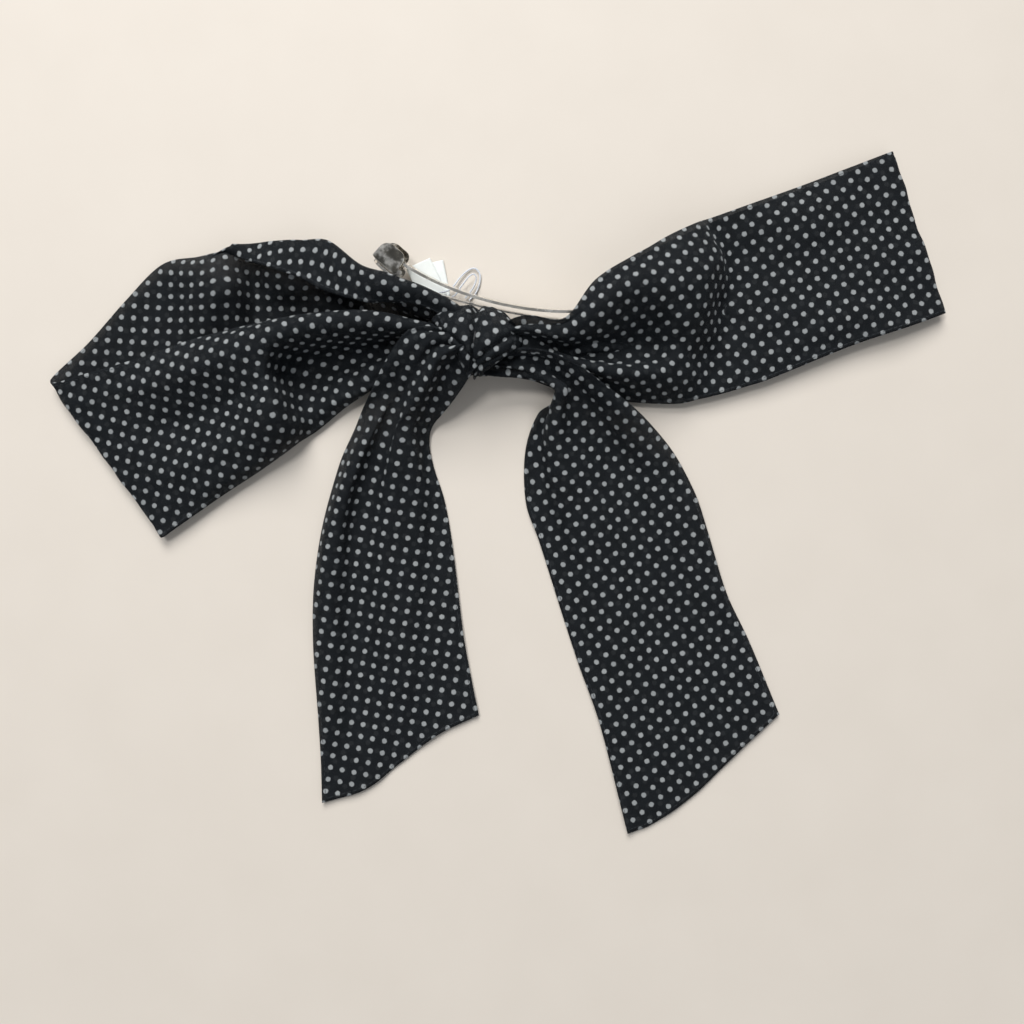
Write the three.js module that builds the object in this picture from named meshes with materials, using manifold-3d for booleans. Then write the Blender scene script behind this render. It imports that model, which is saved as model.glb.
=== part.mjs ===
// Chiffon hair bow tied over a French barrette, with its blank swing label and label threads.
// Millimetres, +Z up. The bow lies face up on a table at z = 0, its tails pointing towards -Y.
import * as THREE from 'three';
import { mergeVertices } from 'three/addons/utils/BufferGeometryUtils.js';
import Module from 'manifold-3d';

const wasm = await Module();
wasm.setup();

// ---- Driving dimensions --------------------------------------------------------------------------
const RIBBON_THICK = 0.8;      // two chiffon layers and the air between them
const GAP = 0.3;               // clearance kept between neighbouring pieces

const ARCH_RADIUS = 75;        // the barrette is bent to the curve of the head
const PLATE_HALF = 38.5;       // half of the base plate's length, along the arch
const PLATE_WIDTH = 8;
const PLATE_THICK = 0.8;
const ARM_WIDTH = 5;
const ARM_THICK = 0.8;
const ARM_END_RISE = 4.1;      // clasp arm above the base plate at its two ends
const ARM_CROWN = 2.0;         // extra rise of the arm at mid length, room for the wrap and the hair
const BAR_WIDTH = 4;
const BAR_THICK = 0.5;
const BAR_END_RISE = 1.2;
const BAR_CROWN = 3.1;
const PIN_STATION = 38;        // hinge pin, along the arch
const PIN_RISE = 3.0;
const PIN_RADIUS = 0.6;
const EYE_OUTER = 1.9;
const EYE_HOLE = PIN_RADIUS + GAP;
const EAR_THICK = 0.7;
const EAR_INNER = 3.1;         // half of the clear width between the two hinge ears
const CATCH_STATION = -34;     // middle of the catch, along the arch
const CATCH_LENGTH = 9;
const TAB_THICK = 0.6;
const TAB_INNER = PLATE_WIDTH / 2 + GAP;
const RIVET_RADIUS = 0.6;
const RIVET_HEAD = 1.3;

const CLIP_YAW = THREE.MathUtils.degToRad(-14);    // the clip's length falls to the right
const CLIP_ROLL = THREE.MathUtils.degToRad(15);    // it stands on edge, leaning back by this much
const CLIP_AT = [-2.4, 49.8, 6.5];                 // middle of the base plate's outer face

const WRAP_LENGTH = 12;        // the centre wrap, along the clip
const WRAP_MIDDLE = -1.5;      // its middle, from the clip's middle
const WRAP_THICK = 1.0;
const THREAD_RADIUS = 0.3;

// ---- Materials -----------------------------------------------------------------------------------
const finish = (color, roughness, metalness) =>
  new THREE.MeshStandardMaterial({ color, roughness, metalness });
const CHIFFON = finish(0x1b2126, 0.85, 0);
const CHIFFON_WRAP = finish(0x191e23, 0.85, 0);
const NICKEL = finish(0xc9c6bf, 0.28, 1);
const NICKEL_DARK = finish(0x9c9892, 0.35, 1);
const SPRING_STEEL = finish(0xb4b3b0, 0.4, 1);
const SEWING_THREAD = finish(0x15181b, 0.8, 0);
const LABEL_PAPER = finish(0xf1f3f1, 0.7, 0);
const LABEL_THREAD = finish(0xdfe2e6, 0.4, 0);

// ---- Helpers -------------------------------------------------------------------------------------
const object = new THREE.Group();
object.name = 'hair_bow';

/** Signed volume of an indexed or plain triangle geometry. */
function volume(geometry) {
  const g = geometry.index ? geometry.toNonIndexed() : geometry;
  const p = g.attributes.position;
  const [a, b, c] = [new THREE.Vector3(), new THREE.Vector3(), new THREE.Vector3()];
  let total = 0;
  for (let i = 0; i < p.count; i += 3) {
    a.fromBufferAttribute(p, i);
    b.fromBufferAttribute(p, i + 1);
    c.fromBufferAttribute(p, i + 2);
    total += a.dot(b.cross(c)) / 6;
  }
  return total;
}

/** Welds a geometry and turns its faces outwards. */
function solid(geometry) {
  const bare = new THREE.BufferGeometry();
  bare.setAttribute('position', geometry.attributes.position.clone());
  if (geometry.index) {
    bare.setIndex(geometry.index.clone());
  }
  const welded = mergeVertices(bare, 1e-4);
  const kept = [];
  const index = welded.index.array;
  for (let i = 0; i < index.length; i += 3) {
    const [a, b, c] = [index[i], index[i + 1], index[i + 2]];
    if (a !== b && b !== c && c !== a) {
      kept.push(a, b, c);
    }
  }
  welded.setIndex(kept);
  if (volume(welded) < 0) {
    for (let i = 0; i < kept.length; i += 3) {
      [kept[i + 1], kept[i + 2]] = [kept[i + 2], kept[i + 1]];
    }
    welded.setIndex(kept);
  }
  return welded;
}

function toManifold(geometry) {
  const g = solid(geometry);
  return new wasm.Manifold(new wasm.Mesh({
    numProp: 3,
    vertProperties: Float32Array.from(g.attributes.position.array),
    triVerts: Uint32Array.from(g.index.array),
  }));
}

function fromManifold(body) {
  const mesh = body.getMesh();
  const g = new THREE.BufferGeometry();
  g.setAttribute('position', new THREE.BufferAttribute(Float32Array.from(mesh.vertProperties), 3));
  g.setIndex(Array.from(mesh.triVerts));
  return g;
}

/** Joins the added geometries into one body and cuts the removed ones out of it. */
function combine(added, removed = []) {
  let body = toManifold(added[0]);
  added.slice(1).forEach((g) => {
    body = body.add(toManifold(g));
  });
  removed.forEach((g) => {
    body = body.subtract(toManifold(g));
  });
  return fromManifold(body);
}

function put(name, geometry, material) {
  const g = solid(geometry);
  g.computeVertexNormals();
  const mesh = new THREE.Mesh(g, material);
  mesh.name = name;
  object.add(mesh);
  return mesh;
}

/**
 * A ribbon as a thin closed solid. Each row holds five points across the ribbon, edge to edge;
 * the rows follow one another along it.
 */
function ribbon(rows, alongSteps, acrossSteps, thick = RIBBON_THICK) {
  const lanes = rows[0].map((_, lane) => new THREE.CatmullRomCurve3(
    rows.map((row) => new THREE.Vector3(...row[lane])), false, 'centripetal'));
  const surface = (u, v) => {
    const across = lanes.map((lane) => lane.getPoint(THREE.MathUtils.clamp(u, 0, 1)));
    return new THREE.CatmullRomCurve3(across, false, 'centripetal').getPoint(THREE.MathUtils.clamp(v, 0, 1));
  };
  const normalAt = (u, v) => {
    const step = 0.004;
    const du = surface(u + step, v).sub(surface(u - step, v));
    const dv = surface(u, v + step).sub(surface(u, v - step));
    return du.cross(dv).normalize();
  };
  const g = new THREE.BoxGeometry(1, 1, 1, alongSteps, acrossSteps, 1);
  const p = g.attributes.position;
  for (let i = 0; i < p.count; i += 1) {
    const u = p.getX(i) + 0.5;
    const v = p.getY(i) + 0.5;
    const at = surface(u, v).addScaledVector(normalAt(u, v), p.getZ(i) * thick);
    p.setXYZ(i, at.x, at.y, at.z);
  }
  return g;
}

/** Clip frame to object frame: x along the clip, y away from the bow, z across the clip's width. */
const clipMatrix = new THREE.Matrix4()
  .makeTranslation(...CLIP_AT)
  .multiply(new THREE.Matrix4().makeRotationZ(CLIP_YAW))
  .multiply(new THREE.Matrix4().makeRotationX(CLIP_ROLL));
/** The same place and direction without the lean, for what wraps round the bow's waist. */
const waistMatrix = new THREE.Matrix4()
  .makeTranslation(CLIP_AT[0], CLIP_AT[1], 0)
  .multiply(new THREE.Matrix4().makeRotationZ(CLIP_YAW));

/** A point of the clip's side view: distance along the arch and rise above the base plate. */
function onArch(station, rise) {
  const angle = station / ARCH_RADIUS;
  const r = ARCH_RADIUS - rise;
  return [r * Math.sin(angle), ARCH_RADIUS - r * Math.cos(angle)];
}

/** A strip bent along the arch. Width and rise are functions of the station along the arch. */
function archStrip(from, to, widthAt, riseAt, thick, steps = 48) {
  const g = new THREE.BoxGeometry(1, 1, 1, steps, 1, 1);
  const p = g.attributes.position;
  for (let i = 0; i < p.count; i += 1) {
    const t = 0.5 - 0.5 * Math.cos(Math.PI * (p.getX(i) + 0.5));
    const station = from + (to - from) * t;
    const rise = riseAt(station) + (p.getZ(i) + 0.5) * thick;
    const [x, y] = onArch(station, rise);
    p.setXYZ(i, x, y, p.getY(i) * widthAt(station));
  }
  return g;
}

/** Width of a strip with rounded ends. */
function roundedWidth(width, from, to, radius) {
  return (station) => {
    const inset = Math.min(station - from, to - station);
    if (inset >= radius) {
      return width;
    }
    const k = 1 - Math.max(inset, 0) / radius;
    return width * Math.max(0.35, Math.sqrt(1 - k * k));
  };
}

/** Round bar across the clip's width, at a point of its side view. */
function crossBar(station, rise, radius, from, to, sides = 28) {
  const [x, y] = onArch(station, rise);
  const g = new THREE.CylinderGeometry(radius, radius, to - from, sides);
  g.rotateX(Math.PI / 2);
  g.translate(x, y, (from + to) / 2);
  return g;
}

/** Round bar through the clip's thickness. */
function throughBar(station, width, radius, from, to, sides = 24) {
  const g = new THREE.CylinderGeometry(radius, radius, to - from, sides);
  g.translate(0, (from + to) / 2, 0);
  g.rotateZ(station / ARCH_RADIUS);
  const [x, y] = onArch(station, 0);
  g.translate(x, y, width);
  return g;
}

/** Rivet through the clip's thickness: a shank and two domed heads. */
function rivet(station, width, low, high) {
  const head = 0.5;
  const profile = [
    [0, low - head], [RIVET_HEAD * 0.6, low - head * 0.9], [RIVET_HEAD, low - head * 0.35], [RIVET_HEAD, low],
    [RIVET_RADIUS, low], [RIVET_RADIUS, high], [RIVET_HEAD, high], [RIVET_HEAD, high + head * 0.35],
    [RIVET_HEAD * 0.6, high + head * 0.9], [0, high + head],
  ].map(([r, h]) => new THREE.Vector2(r, h));
  const g = new THREE.LatheGeometry(profile, 24);
  g.rotateZ(station / ARCH_RADIUS);
  const [x, y] = onArch(station, 0);
  g.translate(x, y, width);
  return g;
}

/** Flat plate in the clip's side view, from an outline of [station, rise] pairs. */
function sidePlate(outline, from, to) {
  const shape = new THREE.Shape(outline.map(([s, r]) => new THREE.Vector2(...onArch(s, r))));
  const g = new THREE.ExtrudeGeometry(shape, { depth: to - from, bevelEnabled: false });
  g.translate(0, 0, from);
  return g;
}

/** Outline of a rounded rectangle as [x, y] pairs. */
function roundedOutline(x0, x1, y0, y1, radii, steps = 6) {
  const corners = [
    [x0, y0, 1, 1, radii[0], Math.PI], [x1, y0, -1, 1, radii[1], 1.5 * Math.PI],
    [x1, y1, -1, -1, radii[2], 0], [x0, y1, 1, -1, radii[3], 0.5 * Math.PI],
  ];
  return corners.flatMap(([x, y, sx, sy, r, start]) => Array.from({ length: steps + 1 }, (_, i) => {
    const a = start + (i / steps) * Math.PI / 2;
    return [x + sx * r + r * Math.cos(a), y + sy * r + r * Math.sin(a)];
  }));
}

/** Round thread along an open path. */
function thread(points, radius, steps) {
  const path = new THREE.CatmullRomCurve3(points.map((p) => new THREE.Vector3(...p)), false, 'centripetal');
  const ring = Array.from({ length: 8 }, (_, i) => new THREE.Vector2(
    radius * Math.cos(i * Math.PI / 4), radius * Math.sin(i * Math.PI / 4)));
  return new THREE.ExtrudeGeometry(new THREE.Shape(ring), { steps, extrudePath: path, bevelEnabled: false });
}

// ---- Ribbon ------------------------------------------------------------------------------------
// Left loop: out along the back layer, whose upper part is turned over towards the front, round the
// fold at the far end, and home along the front layer.
const LEFT_LOOP = [
  [[-6.5, 47, 15.5], [-6.5, 48.8, 13], [-6.5, 48, 9.5], [-6.5, 46, 6], [-6.5, 42, 3.8]],
  [[-14, 50, 15.8], [-14, 51.2, 13.8], [-14, 50, 8], [-14, 47.5, 4.2], [-14, 42, 2.6]],
  [[-22, 53.5, 16], [-22, 55.2, 14.8], [-22, 52.6, 6.8], [-22, 48, 2.4], [-22, 38, 1.6]],
  [[-30, 54.5, 16], [-30, 59.6, 15.4], [-30, 56, 6], [-30, 47, 2], [-30, 33.5, 1.4]],
  [[-38, 54.5, 15.5], [-38, 63.8, 15.6], [-38, 60, 5.5], [-38, 48, 1.6], [-38, 32, 1.2]],
  [[-49, 58, 13], [-49, 72.5, 11], [-49, 70, 3.4], [-49, 53, 1.4], [-49, 37, 1.2]],
  [[-57, 62, 11], [-57, 73.5, 9], [-57, 70.5, 2.6], [-57, 52, 1.2], [-57, 36, 1.2]],
  [[-67, 66, 9], [-67, 73.8, 6.8], [-67, 70, 1.8], [-67, 50, 1.2], [-66, 32, 1.2]],
  [[-78, 69.2, 7], [-79, 73, 4.6], [-78, 66, 1.6], [-75, 46, 1.2], [-71, 28, 1.2]],
  [[-89, 70.8, 4], [-88.4, 66, 2.6], [-86, 55, 1.4], [-81.5, 39, 1.2], [-77, 23, 1.2]],
  [[-100, 68, 2.4], [-98, 60, 1.6], [-93, 46, 1.3], [-88, 30, 1.2], [-84, 15, 1.2]],
  [[-111, 57.5, 1.6], [-108, 48, 1.4], [-101, 33, 1.3], [-95, 18, 1.2], [-91, 5, 1.2]],
  [[-122, 45, 1.6], [-118, 37, 1.4], [-110, 22, 1.4], [-102, 8, 1.3], [-96, -4, 1.2]],
  [[-133, 33.2, 3.2], [-126, 23, 3], [-117, 10.6, 3], [-108.5, -1, 3], [-100, -12.8, 2.8]],
  [[-122, 35, 6], [-114.5, 25, 5.5], [-108, 13, 5], [-101, 1, 4.6], [-94.8, -9.8, 3.6]],
  [[-104.4, 39.5, 8], [-99, 30, 7.5], [-94, 19.5, 6.5], [-88, 9, 5.5], [-82, -0.8, 3.6]],
  [[-89, 44.5, 10], [-84.5, 36, 10], [-80, 26, 8], [-75, 16, 6.5], [-70.8, 6.5, 3.8]],
  [[-70.8, 49, 12], [-68.5, 42, 14.5], [-66, 33, 8.5], [-62.5, 23, 7.5], [-59.4, 14, 4]],
  [[-53.4, 53.3, 12], [-53, 47.5, 16], [-52, 38.5, 7.5], [-50.5, 30, 7.5], [-48.9, 23, 4.4]],
  [[-37.5, 53, 11], [-37.5, 48.5, 15], [-38.5, 40.5, 8], [-39.8, 34, 7.5], [-40.8, 28.7, 5]],
  [[-23, 50.4, 10.5], [-23.5, 47.5, 13.5], [-24, 43, 8.5], [-25, 39, 8], [-26.4, 35.6, 6.5]],
  [[-6.5, 45.5, 12.2], [-6.5, 45.4, 10.5], [-6.5, 44, 8.8], [-6.5, 41, 7.4], [-6.5, 38, 6.4]],
];
// Right loop: the same folded strip on the other side, passing over the hinge end of the clip.
const RIGHT_LOOP = [
  [[-2.5, 47.4, 11.8], [-2.5, 46.6, 9.4], [-2.5, 45.6, 7.2], [-2.5, 44.5, 5.4], [-2.5, 42.5, 4]],
  [[8, 47.4, 13.4], [8, 45.4, 11.2], [8, 43.8, 8], [8, 41.5, 5.5], [8, 38, 3.8]],
  [[18.5, 48.2, 14.6], [18.5, 45, 12], [18.5, 42.4, 7.4], [18.5, 38.6, 3.8], [19, 33.5, 2]],
  [[28, 59, 16.6], [28.3, 52.5, 16.6], [28.5, 45.6, 12.4], [29, 39, 5], [31, 29, 1.4]],
  [[37.5, 65.5, 17], [38.5, 57.5, 18], [40.5, 47, 12], [44, 37.5, 3.4], [50, 27.5, 1.3]],
  [[48.6, 72.3, 8.5], [53, 64, 9], [58.5, 53, 3], [64, 42, 1.4], [69.5, 31.5, 1.2]],
  [[64, 80.5, 3.5], [69.5, 70, 3], [75, 58.5, 1.6], [80, 47.5, 1.2], [85, 37, 1.2]],
  [[84.4, 88.3, 1.6], [89.2, 77.6, 1.4], [94, 66.6, 1.2], [98.7, 55.6, 1.2], [103.3, 44.6, 1.2]],
  [[104, 95.6, 1.4], [108, 84.6, 1.2], [112, 73, 1.2], [116.2, 61.6, 1.2], [120, 50.2, 1.2]],
  [[117.3, 101.6, 3.2], [121.2, 89.6, 3], [125, 77.6, 3], [129, 65.6, 3], [132.9, 53.6, 3]],
  [[104.7, 96.6, 5], [108.8, 85.4, 4.8], [113, 73, 4.8], [117.2, 61, 4.8], [121.3, 49.2, 4.6]],
  [[84.6, 89, 5.5], [89.5, 78, 6], [94.6, 66.2, 5.6], [99.5, 54.8, 6], [104.7, 43.7, 4.8]],
  [[64.5, 81.3, 7.5], [69.8, 70.8, 8], [75.2, 59, 6.5], [80.6, 47.6, 7], [86.4, 36, 4.6]],
  [[48.6, 72.9, 12.5], [53, 64.5, 13.5], [58.8, 53, 8], [64.6, 41.8, 8], [70.8, 30.5, 4.4]],
  [[37, 66, 19.5], [39, 58.5, 21.2], [42.5, 48.5, 15], [47.5, 37.5, 8.5], [53, 26.8, 3.6]],
  [[27.4, 60, 19.3], [29, 53.5, 20.2], [30.5, 46, 15.2], [33.5, 38, 8.6], [37.5, 27.2, 3.6]],
  [[19, 49.4, 17.6], [19.5, 47.4, 16.2], [20.5, 43.4, 11.6], [22.5, 38, 7.6], [24, 31.5, 4.2]],
  [[8, 48.6, 16.8], [8.2, 46.8, 15.2], [8.5, 44.4, 11.5], [8.5, 41.5, 8.4], [8.5, 37.6, 6]],
  [[-2.5, 46.5, 14.2], [-2.5, 46, 12], [-2.5, 45, 10], [-2.5, 43, 8.3], [-2.5, 41, 7]],
];
// Left tail: over the left loop's front layer, down on to the table, cut on a slant.
const LEFT_TAIL = [
  [[-6.5, 43.5, 15.5], [-6.5, 42.3, 13.5], [-6.5, 40.3, 12], [-6.5, 38.2, 10.8], [-6.5, 36.4, 9.7]],
  [[-17, 47.4, 17], [-15.7, 45.5, 17.5], [-14.4, 43, 16.5], [-13.1, 40.8, 14.6], [-12.2, 38.8, 12]],
  [[-25.5, 45.5, 17], [-22, 43.5, 17.8], [-19, 41, 16.5], [-16.6, 38.2, 15], [-15, 35.2, 12]],
  [[-31, 38.5, 13], [-26.5, 37, 14.5], [-22.4, 34.5, 14], [-18.6, 31.8, 12.5], [-15.2, 29, 9.5]],
  [[-35.5, 30.5, 9], [-30.5, 29.5, 10.5], [-26, 28, 10], [-21.5, 25.5, 9], [-17.5, 23, 6.5]],
  [[-39.5, 21, 6], [-34.5, 20.5, 7], [-29.5, 20, 5.5], [-24.5, 19.2, 6.5], [-19.8, 18.4, 3.4]],
  [[-45.5, 8.5, 2.6], [-40, 8.6, 4.5], [-33, 8.5, 3], [-25.5, 8, 4.4], [-18.3, 7.6, 1.6]],
  [[-50, -5, 1.2], [-43.5, -5, 3], [-34, -4.6, 1.8], [-24, -4.2, 2.6], [-15.3, -3.8, 1]],
  [[-53.7, -23, 1], [-45, -22.8, 2.2], [-34, -22.4, 1.4], [-23, -21.8, 2], [-12.9, -21.4, 0.9]],
  [[-54.9, -44, 1], [-45, -43.4, 1.6], [-33.5, -42.6, 1.1], [-22, -41.6, 1.6], [-10.6, -40.6, 0.9]],
  [[-53.3, -70, 1], [-42.5, -66.5, 1.4], [-32, -61.5, 1], [-20.4, -56, 1.4], [-8.6, -52, 0.9]],
  [[-52.5, -92.4, 1.4], [-39.6, -88.4, 1.2], [-29.7, -81, 1], [-17.7, -72, 1.3], [-5.7, -66.2, 1.6]],
];
// Right tail: a narrow band across the front of the knot, a half twist, then fanned out flat.
const RIGHT_TAIL = [
  [[-2.5, 36.5, 6], [-2.5, 37.6, 7.6], [-2.5, 39, 8.8], [-2.5, 40.4, 10], [-2.5, 41.5, 11.6]],
  [[3, 33.8, 6.5], [3, 35.6, 9], [3, 37.4, 10.4], [3, 39.4, 12], [3, 41.6, 13]],
  [[11.5, 31.6, 7], [11.8, 33.8, 10.5], [12.2, 36, 12], [12.8, 38.5, 13.5], [13.4, 41, 14]],
  [[16.8, 29, 6], [18, 30.5, 10.5], [19.4, 32, 10], [21.3, 33.6, 13], [23.5, 35.2, 12]],
  [[11.5, 24, 3.6], [16.5, 25.4, 7.5], [21, 26.2, 6.5], [26, 28.4, 10.5], [32, 30.2, 9]],
  [[8, 13.4, 1.8], [15.5, 15.6, 4.5], [24, 18, 4], [33, 20.4, 7], [42.4, 22.6, 5.5]],
  [[8.2, -2, 1], [18, 1.6, 2.8], [29.5, 5.2, 2], [41, 8.6, 3], [52, 12.2, 2]],
  [[12.2, -14, 1], [23, -10.4, 2], [35, -6.5, 1.4], [47, -2.6, 2], [58.3, 1, 1.2]],
  [[17.4, -30.5, 0.9], [28, -26, 1.5], [40, -21, 1.1], [51, -15.8, 1.6], [62.4, -11, 1]],
  [[23.7, -50, 0.9], [34.5, -45, 1.4], [46, -39.6, 1], [57, -34.4, 1.4], [68, -29.2, 0.9]],
  [[30.6, -69.5, 0.9], [41.5, -63.4, 1.3], [52.5, -57, 1], [63.5, -50.6, 1.3], [75, -44, 0.9]],
  [[38.7, -101.6, 1.4], [46.5, -98.6, 1.2], [58.8, -89.9, 1], [71.7, -77.3, 1.2], [84, -65.9, 1.5]],
];
put('left_loop', ribbon(LEFT_LOOP, 60, 14), CHIFFON);
put('right_loop', ribbon(RIGHT_LOOP, 56, 14), CHIFFON);
put('left_tail', ribbon(LEFT_TAIL, 44, 12), CHIFFON);
put('right_tail', ribbon(RIGHT_TAIL, 44, 12), CHIFFON);

// ---- Centre wrap and the threads inside it ---------------------------------------------------------
// Closed outline of the wrap round the bow's waist and the base plate: [towards the clip, up].
const WRAP_OUTLINE = [
  [3.5, 1.9], [3.7, 4.5], [3, 8.5], [1.8, 12.5], [-1, 17], [-6, 19.3], [-11, 18.2], [-15.4, 13.6],
  [-17.7, 7.6], [-17, 2.6], [-14, 0.95], [-6, 0.9], [0, 0.9],
];

/** The wrap's outline moved outwards (positive) or inwards (negative), as [along, up] pairs. */
function waistOutline(offset, steps) {
  const curve = new THREE.CatmullRomCurve3(
    WRAP_OUTLINE.map(([y, z]) => new THREE.Vector3(0, y, z)), true, 'centripetal');
  return Array.from({ length: steps }, (_, i) => {
    const at = curve.getPointAt(i / steps);
    const tangent = curve.getTangentAt(i / steps);
    return [at.y + tangent.z * offset, at.z - tangent.y * offset];
  });
}
const outwards = THREE.ShapeUtils.area(waistOutline(0.5, 60).map(([x, y]) => ({ x, y })))
  ** 2 > THREE.ShapeUtils.area(waistOutline(0, 60).map(([x, y]) => ({ x, y }))) ** 2 ? 1 : -1;

const wrapShape = new THREE.Shape(
  waistOutline(outwards * WRAP_THICK / 2, 64).map(([y, z]) => new THREE.Vector2(y, z)));
wrapShape.holes.push(new THREE.Path(
  waistOutline(-outwards * WRAP_THICK / 2, 64).map(([y, z]) => new THREE.Vector2(y, z))));
const wrap = new THREE.ExtrudeGeometry(wrapShape, { depth: WRAP_LENGTH, steps: 3, bevelEnabled: false });
wrap.applyMatrix4(new THREE.Matrix4().set(
  0, 0, 1, WRAP_MIDDLE - WRAP_LENGTH / 2,
  1, 0, 0, 0,
  0, 1, 0, 0,
  0, 0, 0, 1));
wrap.applyMatrix4(waistMatrix);
put('knot_wrap', wrap, CHIFFON_WRAP);

/** A tight turn of thread inside the wrap, holding the gathered ribbons to the base plate. */
function tieThread(name, along) {
  const inset = -outwards * (WRAP_THICK / 2 + GAP + THREAD_RADIUS);
  const points = waistOutline(inset, 32).map(([y, z]) => new THREE.Vector3(along, y, z));
  const path = new THREE.CatmullRomCurve3(points, true, 'centripetal');
  const g = new THREE.TubeGeometry(path, 52, THREAD_RADIUS, 6, true);
  g.applyMatrix4(waistMatrix);
  put(name, g, SEWING_THREAD);
}
tieThread('tie_thread_left', WRAP_MIDDLE - 1);
tieThread('tie_thread_right', WRAP_MIDDLE + 1);

// ---- Barrette -----------------------------------------------------------------------------------
const plateFrom = -PLATE_HALF;
const plateTo = PLATE_HALF;
const earOutline = [
  [35, 0.3], [39.6, 0.3], [40, 1.6], [39.9, 3], [39.3, 4.3], [38, 4.9], [36.7, 4.3], [36.1, 3], [35.4, 1.6],
];
const basePlate = combine(
  [
    archStrip(plateFrom, plateTo, roundedWidth(PLATE_WIDTH, plateFrom, plateTo, 3), () => 0, PLATE_THICK, 60),
    sidePlate(earOutline, EAR_INNER, EAR_INNER + EAR_THICK),
    sidePlate(earOutline, -EAR_INNER - EAR_THICK, -EAR_INNER),
  ],
  [
    crossBar(PIN_STATION, PIN_RISE, EYE_HOLE, -6, 6),
    throughBar(-31.5, 0, RIVET_RADIUS + GAP, -1, 2),
    throughBar(31, 0, RIVET_RADIUS + GAP, -1, 2),
    throughBar(-20, 0, 0.8, -1, 2),
    throughBar(-12.5, 0, 0.8, -1, 2),
    throughBar(12.5, 0, 0.8, -1, 2),
    throughBar(20, 0, 0.8, -1, 2),
  ]);
basePlate.applyMatrix4(clipMatrix);
put('base_plate', basePlate, NICKEL);

const armFrom = -36.5;
const crown = (station, from, to) => Math.sin(Math.PI * (station - from) / (to - from));
const clasp = combine(
  [
    archStrip(armFrom, PIN_STATION, (s) => (s > 20 ? ARM_WIDTH : roundedWidth(ARM_WIDTH, armFrom, 60, 2.4)(s)),
      (s) => ARM_END_RISE + ARM_CROWN * crown(s, armFrom, PIN_STATION), ARM_THICK, 60),
    crossBar(PIN_STATION, PIN_RISE, EYE_OUTER, -ARM_WIDTH / 2, ARM_WIDTH / 2),
  ],
  [
    crossBar(PIN_STATION, PIN_RISE, EYE_HOLE, -6, 6),
    throughBar(-28.5, 0, 1.1, 2, 9),
  ]);
clasp.applyMatrix4(clipMatrix);
put('clasp_arm', clasp, NICKEL);

const pinProfile = [
  [0, -4.6], [0.9, -4.55], [1.15, -4.3], [1.15, -4.1], [PIN_RADIUS, -4.1], [PIN_RADIUS, 4.1],
  [1.15, 4.1], [1.15, 4.3], [0.9, 4.55], [0, 4.6],
].map(([r, h]) => new THREE.Vector2(r, h));
const pin = new THREE.LatheGeometry(pinProfile, 24);
pin.rotateX(Math.PI / 2);
pin.translate(...onArch(PIN_STATION, PIN_RISE), 0);
pin.applyMatrix4(clipMatrix);
put('hinge_pin', pin, NICKEL_DARK);

const barFrom = -26;
const barTo = 33;
const bar = combine(
  [archStrip(barFrom, barTo, roundedWidth(BAR_WIDTH, barFrom, barTo, 2),
    (s) => BAR_END_RISE + BAR_CROWN * crown(s, barFrom, barTo), BAR_THICK, 60)],
  [throughBar(31, 0, RIVET_RADIUS + GAP, -1, 4)]);
bar.applyMatrix4(clipMatrix);
put('tension_bar', bar, SPRING_STEEL);

const barRivet = rivet(31, 0, -GAP, 2.45);
barRivet.applyMatrix4(clipMatrix);
put('bar_rivet', barRivet, NICKEL_DARK);

const catchFrom = CATCH_STATION - CATCH_LENGTH / 2;
const catchTo = CATCH_STATION + CATCH_LENGTH / 2;
const cheek = roundedOutline(catchFrom, catchTo, 1.2, 3.2, [0.2, 0.2, 0.9, 0.9]);
const catchBody = combine(
  [
    archStrip(catchFrom, catchTo, () => 2 * 3.9, () => PLATE_THICK + GAP, 0.6, 16),
    sidePlate(cheek, 3.4, 3.9),
    sidePlate(cheek, -3.9, -3.4),
  ],
  [throughBar(-31.5, 0, RIVET_RADIUS + GAP, -1, 4)]);
catchBody.applyMatrix4(clipMatrix);
put('catch_body', catchBody, NICKEL_DARK);

const catchRivet = rivet(-31.5, 0, -GAP, 2.0);
catchRivet.applyMatrix4(clipMatrix);
put('catch_rivet', catchRivet, NICKEL_DARK);

// The two finger tabs stand outside the catch; pressed together they let the clasp arm go.
const tab = roundedOutline(-39.4, -31, 1.4, 7.6, [0.6, 0.6, 2.2, 2.9]);
[['finger_tab_upper', 1], ['finger_tab_lower', -1]].forEach(([name, side]) => {
  const low = side > 0 ? TAB_INNER : -TAB_INNER - TAB_THICK;
  const g = sidePlate(tab, low, low + TAB_THICK);
  g.applyMatrix4(clipMatrix);
  put(name, g, NICKEL);
});

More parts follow.
